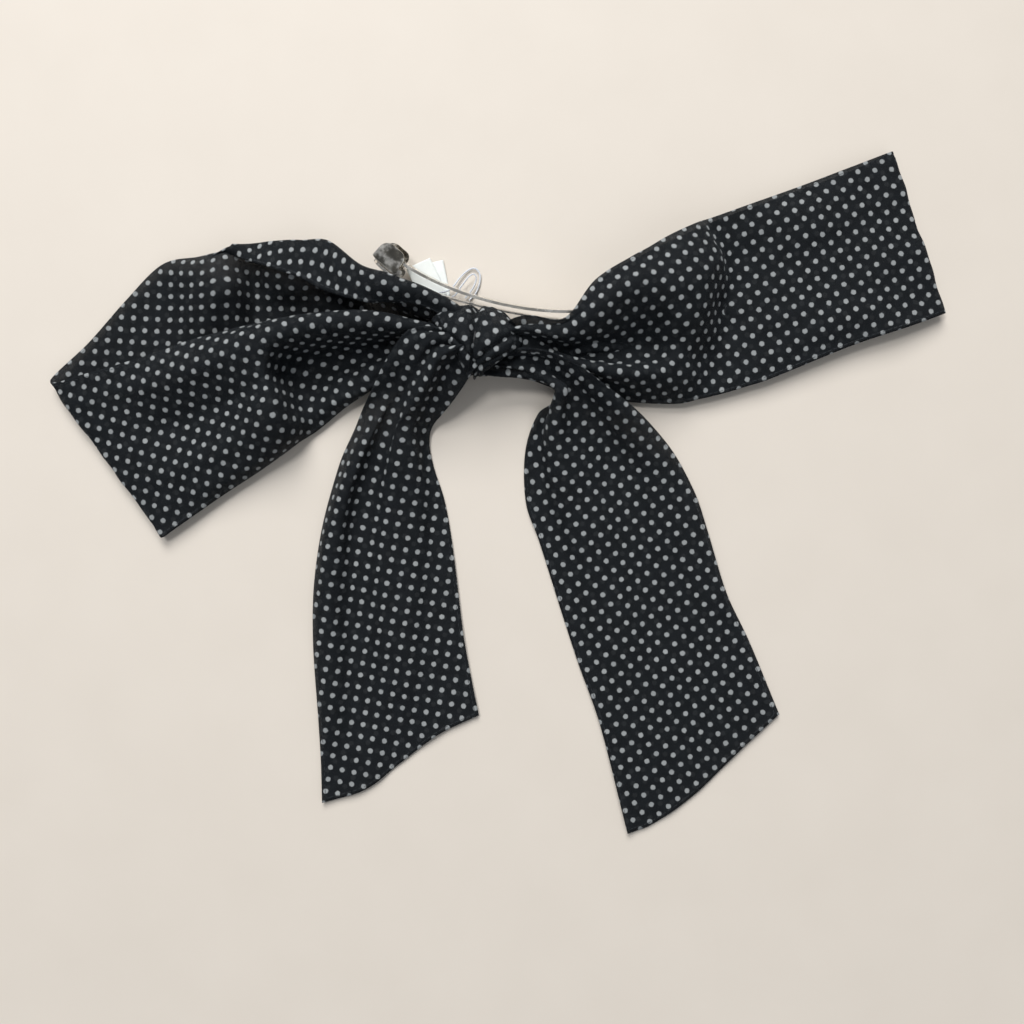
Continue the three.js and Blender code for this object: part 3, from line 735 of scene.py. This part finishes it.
LEFT_LOOP_ROWS: Sequence[Row] = (
    ((-6.5, 47, 15.5), (-6.5, 48.8, 13), (-6.5, 48, 9.5), (-6.5, 46, 6), (-6.5, 42, 3.8)),
    ((-14, 50, 15.8), (-14, 53.6, 14.4), (-14, 50.4, 8), (-14, 47.5, 4.2), (-14, 42, 2.6)),
    ((-22, 53.5, 16), (-22, 57, 14.9), (-22, 52.6, 6.8), (-22, 48, 2.4), (-22, 38, 1.6)),
    ((-30, 54.5, 16), (-30, 59.6, 15.4), (-30, 56, 6), (-30, 47, 2), (-30, 33.5, 1.4)),
    ((-38, 54.5, 15.5), (-38, 63.8, 15.6), (-38, 60, 5.5), (-38, 48, 1.6), (-38, 32, 1.2)),
    ((-49, 58, 13), (-49, 72.5, 11), (-49, 70, 3.4), (-49, 53, 1.4), (-49, 37, 1.2)),
    ((-57, 62, 13), (-57, 73.5, 10.6), (-57, 63.4, 8.6), (-57, 54.5, 1.3), (-57, 36, 1.2)),
    ((-66.5, 65.4, 11), (-66.5, 73.8, 7.8), (-66.5, 62.4, 6), (-66.5, 54, 1.3), (-65, 32.6, 1.2)),
    ((-74.5, 68.6, 7), (-74.6, 73, 5.4), (-73.6, 63.4, 1.8), (-72, 52.4, 1.3), (-68.8, 30, 1.2)),
    ((-80.6, 70.4, 7.4), (-80.8, 70.8, 8.6), (-79, 62, 10.6), (-76.4, 50.6, 7), (-72.4, 26.6, 1.2)),
    ((-89, 70, 4.4), (-88.6, 65.6, 7), (-86.6, 55, 7.6), (-82, 39.6, 2.4), (-77.4, 22.6, 1.2)),
    ((-100, 68, 2.4), (-98, 60, 2.8), (-93, 46, 2.4), (-88, 30, 1.2), (-84, 15, 1.2)),
    ((-111, 57.5, 1.6), (-108, 48, 1.4), (-101, 33, 1.3), (-95, 18, 1.2), (-91, 5, 1.2)),
    ((-122, 45, 1.6), (-118, 37, 1.4), (-110, 22, 1.4), (-102, 8, 1.3), (-96, -4, 1.2)),
    ((-133, 33.2, 3.2), (-126, 23, 3), (-117, 10.6, 3), (-108.5, -1, 3), (-100, -12.8, 2.8)),
    ((-122, 35, 6), (-114.5, 25, 5.5), (-108, 13, 5), (-101, 1, 4.6), (-94.8, -9.8, 3.6)),
    ((-104.4, 39.5, 8), (-99, 30, 8), (-94, 19.5, 7.4), (-88, 9, 6.4), (-82, -0.8, 3.6)),
    ((-89, 44.5, 10), (-84.5, 36, 11.6), (-80, 26, 11), (-75, 16, 9), (-70.8, 6.5, 3.8)),
    ((-70.8, 49, 11), (-68.5, 43, 15), (-66, 33.8, 16.4), (-64, 23.2, 14.2), (-60.8, 13.2, 4)),
    ((-55, 52.2, 10.5), (-57, 46.4, 16), (-59, 37.2, 4.6), (-57.6, 27.2, 3), (-54.4, 18.4, 3)),
    ((-37.5, 53, 11), (-38, 48.5, 15), (-42, 39.6, 5), (-43.4, 32.4, 5.4), (-43.6, 26.6, 4.2)),
    ((-23, 50.4, 10.5), (-23.5, 47.5, 13.5), (-24, 43, 8.5), (-25, 39, 8), (-26.4, 35.6, 6.5)),
    ((-6.5, 45.5, 12.2), (-6.5, 45.4, 10.5), (-6.5, 44, 8.8), (-6.5, 41, 7.4), (-6.5, 38, 6.4)),
)
RIGHT_LOOP_ROWS: Sequence[Row] = (
    ((-2.5, 47.4, 11.8), (-2.5, 46.6, 9.4), (-2.5, 45.6, 7.2), (-2.5, 44.5, 5.4), (-2.5, 42.5, 4)),
    ((8, 47.4, 13.4), (8, 45.4, 11.2), (8, 43.8, 8), (8, 41.5, 5.5), (8, 38, 3.8)),
    ((18.5, 48.2, 14.6), (18.5, 45, 12), (18.5, 42.4, 7.4), (18.5, 38.6, 3.8), (19, 33.5, 2)),
    ((28, 59, 16), (28.3, 52.5, 16.4), (28.5, 45.4, 10.4), (29, 39, 3.6), (31, 29, 1.4)),
    ((37.5, 65.5, 16), (38.5, 57.5, 17), (41, 46.5, 6.4), (45, 37, 1.8), (50, 27.5, 1.3)),
    ((48.6, 72.3, 8.5), (53, 64, 9), (58.5, 53, 3), (64, 42, 1.4), (69.5, 31.5, 1.2)),
    ((64, 80.5, 3.5), (69.5, 70, 3), (75, 58.5, 1.6), (80, 47.5, 1.2), (85, 37, 1.2)),
    ((84.4, 88.3, 1.6), (89.2, 77.6, 1.4), (94, 66.6, 1.2), (98.7, 55.6, 1.2), (103.3, 44.6, 1.2)),
    ((104, 95.6, 1.4), (108, 84.6, 1.2), (112, 73, 1.2), (116.2, 61.6, 1.2), (120, 50.2, 1.2)),
    ((117.3, 101.6, 3.2), (121.2, 89.6, 3), (125, 77.6, 3), (129, 65.6, 3), (132.9, 53.6, 3)),
    ((104.7, 96.6, 5), (108.8, 85.4, 4.8), (113, 73, 4.8), (117.2, 61, 4.8), (121.3, 49.2, 4.6)),
    ((84.6, 89, 5.5), (89.5, 78, 6), (94.6, 66.2, 5.6), (99.5, 54.8, 6), (104.7, 43.7, 4.8)),
    ((63.4, 81, 7), (69.4, 70.2, 5.4), (72.4, 58, 4.6), (76, 46, 4.8), (81.4, 34.2, 4.2)),
    ((57.4, 77.8, 12.4), (64.2, 66.6, 12.6), (66.2, 54.8, 4.8), (69.2, 43, 4.2), (74, 31.8, 4)),
    ((50.4, 74, 15.4), (58, 62.8, 18), (59.6, 51, 13.4), (62.4, 40, 4.2), (66.6, 29.6, 3.8)),
    ((43.6, 70, 17.4), (48.6, 60, 19.8), (52.4, 47.6, 14.6), (54.4, 37.8, 10), (59.6, 28, 3.6)),
    ((37, 66, 18.6), (39.5, 57, 20.8), (44.4, 43.4, 8), (47.4, 35, 11.6), (52, 26.6, 3.4)),
    ((27.4, 60, 18.8), (29, 52.5, 20), (31.5, 42.8, 10.6), (34, 35, 12), (37.5, 27.2, 3.6)),
    ((19, 49.4, 17.4), (19.5, 47.2, 17.2), (20.5, 42.6, 10.6), (22.5, 37.4, 10.6), (24, 31.5, 4.2)),
    ((8, 49.4, 17), (8.2, 47.4, 18.2), (8.5, 44.6, 17), (8.5, 41.5, 12.5), (8.5, 37.6, 7)),
    ((-2.5, 46.5, 14.2), (-2.5, 46, 12), (-2.5, 45, 10), (-2.5, 43, 8.3), (-2.5, 41, 7)),
)
LEFT_TAIL_ROWS: Sequence[Row] = (
    ((-6.5, 43.5, 15.5), (-6.5, 42.3, 13.5), (-6.5, 40.3, 12), (-6.5, 38.2, 10.8), (-6.5, 36.4, 9.7)),
    ((-17, 47, 16.2), (-14.6, 44.6, 17.4), (-12, 41.6, 17.8), (-9.4, 39, 17), (-7, 36.8, 13.6)),
    ((-25.5, 45.5, 16.6), (-21.4, 43, 17.8), (-17.2, 39.8, 17.2), (-13, 36.4, 15.8), (-9.2, 33.2, 11.6)),
    ((-31, 38.5, 13), (-26, 36.6, 14.8), (-21, 33.8, 14), (-16.4, 30.8, 12.5), (-12.6, 27.8, 8.6)),
    ((-35.5, 30.5, 9), (-30.2, 29.3, 10.8), (-25.2, 27.4, 10), (-20.4, 24.8, 9), (-16.4, 22.6, 5.8)),
    ((-39.5, 21, 3.6), (-35.2, 20.5, 9), (-29.5, 20, 6), (-24.5, 18.8, 7.6), (-19.4, 17, 2.6)),
    ((-45.5, 8.5, 1.6), (-40.8, 8.6, 8), (-33, 8.5, 3.6), (-24.6, 8, 6), (-18.3, 7.6, 1.2)),
    ((-50, -5, 1), (-45, -5, 6.6), (-35, -4.6, 2), (-23.6, -4.2, 4), (-15.3, -3.8, 1)),
    ((-53.7, -23, 1), (-47, -22.8, 4.2), (-35, -22.4, 1.4), (-22.6, -21.8, 2.4), (-12.9, -21.4, 0.9)),
    ((-54.9, -44, 1), (-45, -43.4, 1.6), (-33.5, -42.6, 1.1), (-22, -41.6, 1.6), (-10.6, -40.6, 0.9)),
    ((-53.3, -70, 1), (-42.5, -66.5, 1.4), (-32, -61.5, 1), (-20.4, -56, 1.4), (-8.6, -52, 0.9)),
    ((-52.5, -92.4, 1.4), (-39.6, -88.4, 1.2), (-29.7, -81, 1), (-17.7, -72, 1.3), (-5.7, -66.2, 1.6)),
)
RIGHT_TAIL_ROWS: Sequence[Row] = (
    ((-4.6, 35.2, 6), (-4.6, 36.8, 9), (-4.6, 38.4, 10.6), (-4.6, 40, 11.6), (-4.6, 41.5, 12)),
    ((2.2, 33.6, 6.5), (2.4, 35.6, 10.4), (2.6, 37.4, 11.8), (2.8, 39.4, 12.6), (3, 41.6, 13)),
    ((11.5, 31.6, 7), (11.8, 33.8, 10.5), (12.2, 36, 12), (12.8, 38.5, 13.5), (13.4, 41, 14)),
    ((16.8, 29, 6), (18, 30.5, 10.5), (19.4, 32, 10), (21.3, 33.6, 13), (23.5, 35.2, 12)),
    ((11.5, 24, 3.6), (16.5, 25.4, 7.5), (21, 26.2, 6.5), (26, 28.4, 10.5), (32, 30.2, 9)),
    ((8, 13.4, 1.8), (15.5, 15.6, 4.5), (24, 18, 4), (33, 20.4, 7), (42.4, 22.6, 5.5)),
    ((8.2, -2, 1), (18, 1.6, 2.8), (29.5, 5.2, 2), (41, 8.6, 3), (52, 12.2, 2)),
    ((12.2, -14, 1), (23, -10.4, 2), (35, -6.5, 1.4), (47, -2.6, 2), (58.3, 1, 1.2)),
    ((17.4, -30.5, 0.9), (28, -26, 1.5), (40, -21, 1.1), (51, -15.8, 1.6), (62.4, -11, 1)),
    ((23.7, -50, 0.9), (34.5, -45, 1.4), (46, -39.6, 1), (57, -34.4, 1.4), (68, -29.2, 0.9)),
    ((30.6, -69.5, 0.9), (41.5, -63.4, 1.3), (52.5, -57, 1), (63.5, -50.6, 1.3), (75, -44, 0.9)),
    ((38.7, -101.6, 1.4), (46.5, -98.6, 1.2), (58.8, -89.9, 1), (71.7, -77.3, 1.2), (84, -65.9, 1.5)),
)


# ---------- centre wrap
@dataclass
class CentreWrap:
    """The wrap round the waist: a closed band pinched by one deep crease, with soft lobes that fan from it.

    Its outline is in a plane across the clip, and the crease and the half widths are measured along the clip,
    all in millimetres.
    """

    at: tuple[float, float] = (-2.4, 49.8)
    yaw: float = -5.0
    outline: tuple[tuple[float, float], ...] = (
        (3.5, 1.9), (3.7, 4.5), (3.0, 8.5), (1.8, 12.5), (-1.0, 16.4), (-6.0, 18.0), (-11.0, 16.8),
        (-14.2, 12.8), (-15.2, 7.8), (-14.4, 2.8), (-11.0, 0.95), (-5.0, 0.9), (0.0, 0.9),
    )
    crease_under: float = -3.0
    crease_over: float = -3.6
    half_under: float = 3.6
    half_left: float = 12.6
    half_right: float = 11.0
    swell: float = 1.9
    groove: float = 1.25
    tuck: float = 2.6
    lowest: float = 0.45
    around: int = 216
    across: int = 90
    thickness: float = 0.5
    turn: float = 28.0
    inside_turn: float = 30.0
    flat_size: tuple[float, float] = field(default=(0.0, 0.0), init=False)

    def ring(self) -> tuple[np.ndarray, np.ndarray]:
        """The band's closed outline round the waist.

        Returns:
            The outline's points and the outward direction at each.
        """
        ring = np.array(self.outline + self.outline[:3], float)
        line = spline(ring, np.linspace(1, len(self.outline) + 1, self.around + 1))
        tangent = np.gradient(np.concatenate([line[-2:-1], line, line[1:2]]), axis=0)[1:-1]
        tangent /= np.linalg.norm(tangent, axis=1, keepdims=True)
        outward = np.stack([tangent[:, 1], -tangent[:, 0]], axis=1)
        outward *= np.sign(((line - line.mean(0)) * outward).sum(1).mean())
        return line, outward

    def lobes(self, w: np.ndarray, front: np.ndarray, face: np.ndarray) -> np.ndarray:
        """How far the lobes swell from the outline, less the creases that fan from the pinch.

        Args:
            w: places across the band, from -1 at its left edge to 1 at its right, with 0 on the crease.
            front: places round the band, from 0 at its top to 1 at its front.
            face: 1 on the side that shows, 0 on the side that is hidden.

        Returns:
            The rise at each point of the grid.
        """
        pinch = 1 - np.exp(-(w / 0.11) ** 2)
        creases = (np.exp(-((w - 0.2 - 1.35 * (0.75 - front)) / 0.1) ** 2)
                   + 0.8 * np.exp(-((w - 0.3 - 2.6 * (0.85 - front)) / 0.1) ** 2)
                   + 0.9 * np.exp(-((w + 0.18 + 2.0 * (0.72 - front)) / 0.1) ** 2)
                   + 0.5 * np.exp(-((w + 0.5 + 0.5 * np.sin(3 * front)) / 0.07) ** 2))
        ripple = np.sin(13 * w + 5 * front) * np.sin(7 * w - 6 * front + 1)
        rise = face * (self.swell * pinch * (1 - np.abs(w) ** 2.5)
                       - self.groove * creases * pinch * (1 - w ** 8) + 0.22 * ripple)
        return rise - face * self.tuck * np.abs(w) ** 5

    def surface(self) -> np.ndarray:
        """The wrap's middle surface: rows run round the waist, lanes run along the clip.

        Returns:
            The surface, as a grid of points.
        """
        line, outward = self.ring()
        face = np.clip((line[:, 1] - 4.0) / 10.0, 0, 1)[:, None]
        face = face * face * (3 - 2 * face)
        front = np.clip(-line[:, 0] / 15.0, 0, 1)[:, None]
        w = np.linspace(-1, 1, self.across + 1)[None, :]
        left = self.half_under * (1 - face) + face * (self.half_left - 9.2 * front ** 0.9)
        right = (self.half_under * (1 - face)
                 + face * (self.half_right + 12.0 * front * (1 - front) - 7.6 * front ** 3))
        middle = self.crease_under * (1 - face) + self.crease_over * face
        x = middle + np.where(w < 0, w * left, w * right)
        rise = self.lobes(w, front, face)
        y = line[:, :1] + outward[:, :1] * rise
        z = line[:, 1:] + outward[:, 1:] * rise
        yaw = math.radians(self.yaw)
        return np.stack([
            self.at[0] + x * math.cos(yaw) - y * math.sin(yaw),
            self.at[1] + x * math.sin(yaw) + y * math.cos(yaw),
            np.maximum(z, self.lowest)], axis=2)

    def build(self) -> bpy.types.Object:
        """Builds the wrap as a band closed into a ring.

        Returns:
            The wrap's object.
        """
        grid = self.surface()
        steps = np.linalg.norm(np.diff(grid[:, self.across // 2], axis=0), axis=1)
        length = np.concatenate([[0], np.cumsum(steps)])
        width = np.linalg.norm(np.diff(grid, axis=1), axis=2).sum(1)
        lanes = np.linspace(0, width.mean(), self.across + 1)
        start = np.stack(np.meshgrid(length, lanes, indexing="ij"), axis=2)
        cloth = flatten(grid, start)
        away = np.minimum(start[:, :, 1], width.mean() - start[:, :, 1])
        mesh = cloth_grid(grid, cloth, np.stack([start[:, :, 0], away], axis=2))
        area = sum(face.calc_area() for face in mesh.faces)
        bmesh.ops.remove_doubles(mesh, verts=mesh.verts, dist=1e-6)
        self.flat_size = (area / (length[-1] * MM), length[-1] * MM)
        return as_piece(mesh, "knot_wrap", "knot_wrap_cloth")

    def make(self) -> None:
        piece = self.build()
        thicken(piece, self.thickness, Chiffon("knot_chiffon", self.turn),
                Chiffon("knot_chiffon_inside", self.turn + self.inside_turn))
        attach(piece, Body.BOW.value)
        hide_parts("knot_wrap")
        LOG.info("knot_wrap: %.1f x %.1f mm of cloth", self.flat_size[0] / MM, self.flat_size[1] / MM)


# ---------- label threads
@dataclass
class HangThread:
    """A free thread loop that holds the label, along its route in millimetres."""

    name: str
    route: Row
    lift: float = -0.2
    diameter: float = 0.5
    points: int = 37

    def make(self, material: bpy.types.Material) -> None:
        """Args:
            material: the thread's finish.
        """
        points = np.array(self.route, float)
        points[:, 2] += self.lift
        line = spline(points, np.linspace(0, len(points) - 1, self.points))
        curve = bpy.data.curves.new(self.name, "CURVE")
        curve.dimensions = "3D"
        curve.bevel_depth = self.diameter / 2 * MM
        curve.bevel_resolution = 3
        curve.use_fill_caps = True
        run = curve.splines.new("POLY")
        run.points.add(len(line) - 1)
        for point, place in zip(run.points, line * MM):
            point.co = (*place, 1.0)
        curve.materials.append(material)
        piece = bpy.data.objects.new(self.name + "_loop", curve)
        bpy.context.scene.collection.objects.link(piece)
        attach(piece, Body.BOW.value)
        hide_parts(self.name)


HANG_OUTER = (
    (-26, 61, 2.2), (-20, 59.8, 2.2), (-14.6, 60.6, 2.2), (-11.3, 64.6, 1.4), (-9, 66.8, 0.9),
    (-6.9, 67.4, 0.9), (-5.4, 65.6, 0.9), (-5.6, 62.6, 0.9), (-6.8, 59.8, 0.8), (-8.6, 57.9, 0.8),
)
HANG_INNER = (
    (-27, 59.4, 2.2), (-20, 58.2, 2.2), (-13.6, 58.6, 2.2), (-11, 61.6, 2.6), (-8.7, 64.4, 3),
    (-7.3, 65.2, 3), (-6.4, 64.2, 2.6), (-7.4, 61.4, 1.8), (-9.8, 58.4, 1.2),
)


# ---------- swing label
LABEL_ROWS: Sequence[Row] = (
    ((-24.2, 68.3, 0.8), (-20.3, 69.1, 0.6), (-16.4, 69.9, 0.9)),
    ((-23.1, 62.9, 0.4), (-19.2, 63.7, 0.4), (-15.3, 64.5, 0.4)),
    ((-22.2, 58.6, 0.35), (-18.3, 59.3, 0.35), (-14.4, 60.0, 0.35)),
    ((-22.0, 57.0, 0.7), (-18.2, 57.6, 0.7), (-14.6, 58.6, 0.7)),
    ((-23.0, 58.2, 1.1), (-19.4, 59.4, 1.1), (-15.8, 60.6, 1.1)),
    ((-25.3, 62.5, 1.1), (-21.6, 64.0, 1.2), (-17.9, 65.6, 1.1)),
    ((-27.4, 67.2, 1.3), (-24.0, 68.7, 1.5), (-20.3, 70.3, 1.7)),
)


@dataclass
class SwingLabel:
    """A blank paper strip folded in two, with its upper leaf a little skewed."""

    along: int = 90
    across: int = 16
    thickness: float = 0.22

    def make(self) -> None:
        grid = even_spread(LABEL_ROWS, self.along, self.across)
        flat = grid[:, :, :2]
        piece = as_piece(cloth_grid(grid, flat, flat), "label", "label_leaves")
        thicken(piece, self.thickness, LabelPaper())
        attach(piece, Body.BOW.value)
        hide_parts("label")
        LOG.info("label: two leaves")


# ---------- barrette
@dataclass
class Barrette:
    """The metal clip and its sewing threads: CAD nodes that keep their shape and get their finish."""

    nickel: PlatedMetal = PlatedMetal(
        "bright_nickel", rgba(0.96, 0.93, 0.87), rgba(0.74, 0.71, 0.64), 0.16, 0.32)
    # Finger tabs: the near-black patches are painted reflections, for a mirror's dark and bright contrast.
    painted_reflection_nickel: PlatedMetal = PlatedMetal(
        "nickel_painted_reflections", rgba(0.97, 0.94, 0.88), rgba(0.2, 0.19, 0.165), 0.12, 0.3, 330.0)
    steel: PlatedMetal = PlatedMetal(
        "spring_steel", rgba(0.8, 0.77, 0.72), rgba(0.48, 0.46, 0.43), 0.22, 0.4)
    sewing: Thread = Thread("black_sewing_thread", rgba(0.03, 0.032, 0.036), rgba(0.012, 0.013, 0.015), 0.7)
    bright: tuple[str, ...] = ("base_plate", "clasp_arm")
    fingered: tuple[str, ...] = ("finger_tab_upper", "finger_tab_lower")
    satin: tuple[str, ...] = ("hinge_pin", "tension_bar", "bar_rivet", "catch_body", "catch_rivet")
    sewn: tuple[str, ...] = ("tie_thread_left", "tie_thread_right")

    def dress(self) -> None:
        """Gives every kept CAD node its finish."""
        finishes = ((self.nickel, self.bright), (self.painted_reflection_nickel, self.fingered), (self.steel, self.satin),
                    (self.sewing, self.sewn))
        for finish, names in finishes:
            material = finish.make()
            for name in names:
                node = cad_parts[name]
                node.data.materials.clear()
                node.data.materials.append(material)
                LOG.info("%s: finished as %s", name, finish.name)


# ---------- stage
@dataclass(frozen=True)
class Lamp:
    """A soft square lamp that faces the bow; its place and size are in metres, its power in watts."""

    name: str
    place: tuple[float, float, float]
    size: float
    power: float
    colour: tuple[float, float, float]

    def make(self) -> None:
        """Adds the lamp to the scene."""
        data = bpy.data.lights.new(self.name, "AREA")
        data.size = self.size
        data.energy = self.power
        data.color = self.colour
        lamp = bpy.data.objects.new(self.name, data)
        lamp.location = self.place
        lamp.rotation_euler = (-Vector(self.place)).to_track_quat("-Z", "Y").to_euler()
        bpy.context.scene.collection.objects.link(lamp)


@dataclass
class Studio:
    """Camera straight above the bow, pale floor and soft light; lengths are in metres."""

    height: float = 0.308
    centre: tuple[float, float] = (0.0042, -0.0055)
    view: float = 0.3072
    sensor: float = 36.0
    floor_size: float = 9.0
    floor_dark: Colour = rgba(0.64, 0.59, 0.53)
    floor_light: Colour = rgba(0.68, 0.63, 0.57)
    lamps: tuple[Lamp, ...] = (
        Lamp("window", (-0.2, 1.5, 1.35), 1.1, 40.0, (1.0, 0.98, 0.95)),
        Lamp("fill", (0.6, -1.2, 1.6), 1.6, 5.0, (0.92, 0.96, 1.0)),
        Lamp("ceiling", (-0.55, 0.5, 1.5), 0.35, 9.0, (1.0, 0.99, 0.97)),
    )
    room: Colour = rgba(0.95, 0.97, 1.0)
    room_light: float = 0.24

    def camera(self) -> None:
        """Places the camera."""
        data = bpy.data.cameras.new("camera")
        data.sensor_width = self.sensor
        data.lens = self.sensor * self.height / self.view
        data.clip_start = 0.01
        data.clip_end = 20.0
        camera = bpy.data.objects.new("camera", data)
        camera.location = (*self.centre, self.height)
        bpy.context.scene.collection.objects.link(camera)
        bpy.context.scene.camera = camera

    def floor(self) -> None:
        """Lays the pale floor."""
        mesh = bmesh.new()
        bmesh.ops.create_grid(mesh, x_segments=1, y_segments=1, size=self.floor_size)
        floor = as_piece(mesh, "floor", "floor")
        shader = Shader("pale_floor")
        grain = shader.noise(shader.node("TexCoord").outputs["Object"], 40.0, 4.0)
        colour = shader.blend(grain, self.floor_dark, self.floor_light)
        shader.feed(shader.surface.inputs["Base Color"], colour)
        shader.surface.inputs["Roughness"].default_value = 0.6
        floor.data.materials.append(shader.material)

    def lights(self) -> None:
        """Sets the lamps and the room's own light."""
        for lamp in self.lamps:
            lamp.make()
        world = bpy.data.worlds.new("room")
        world.use_nodes = True
        background = world.node_tree.nodes["Background"].inputs
        background["Color"].default_value = self.room
        background["Strength"].default_value = self.room_light
        bpy.context.scene.world = world
        bpy.context.scene.view_settings.view_transform = "Standard"


def main() -> None:
    """Builds the scene in order: camera, threads, cloth, label, clip, stage."""
    logging.basicConfig(level=logging.INFO, format="%(name)s %(message)s")
    studio = Studio()
    studio.camera()
    strand = Thread("label_thread", rgba(0.82, 0.85, 0.9), rgba(0.6, 0.66, 0.76), 0.8, 0.85).make()
    HangThread("hang_thread_outer", HANG_OUTER).make(strand)
    HangThread("hang_thread_inner", HANG_INNER).make(strand)
    Ribbon("left_loop", LEFT_LOOP_ROWS, 22.5, along=420, pleat_reach=(0.0, 0.16),
           pleat_reach_end=(0.86, 1.0), seed=1).make()
    Ribbon("right_loop", RIGHT_LOOP_ROWS, 61.0, along=420, pleat_reach=(0.0, 0.2),
           pleat_reach_end=(0.76, 1.0), seed=2, rests_on=("base_plate", "hinge_pin")).make()
    Ribbon("left_tail", LEFT_TAIL_ROWS, -11.0, cut_end=True, pleat_reach=(0.0, 0.4), seed=3).make()
    Ribbon("right_tail", RIGHT_TAIL_ROWS, -10.5, cut_end=True, pleat_reach=(0.0, 0.3), seed=4).make()
    CentreWrap().make()
    SwingLabel().make()
    Barrette().dress()
    studio.floor()
    studio.lights()


if __name__ == "__main__":
    main()
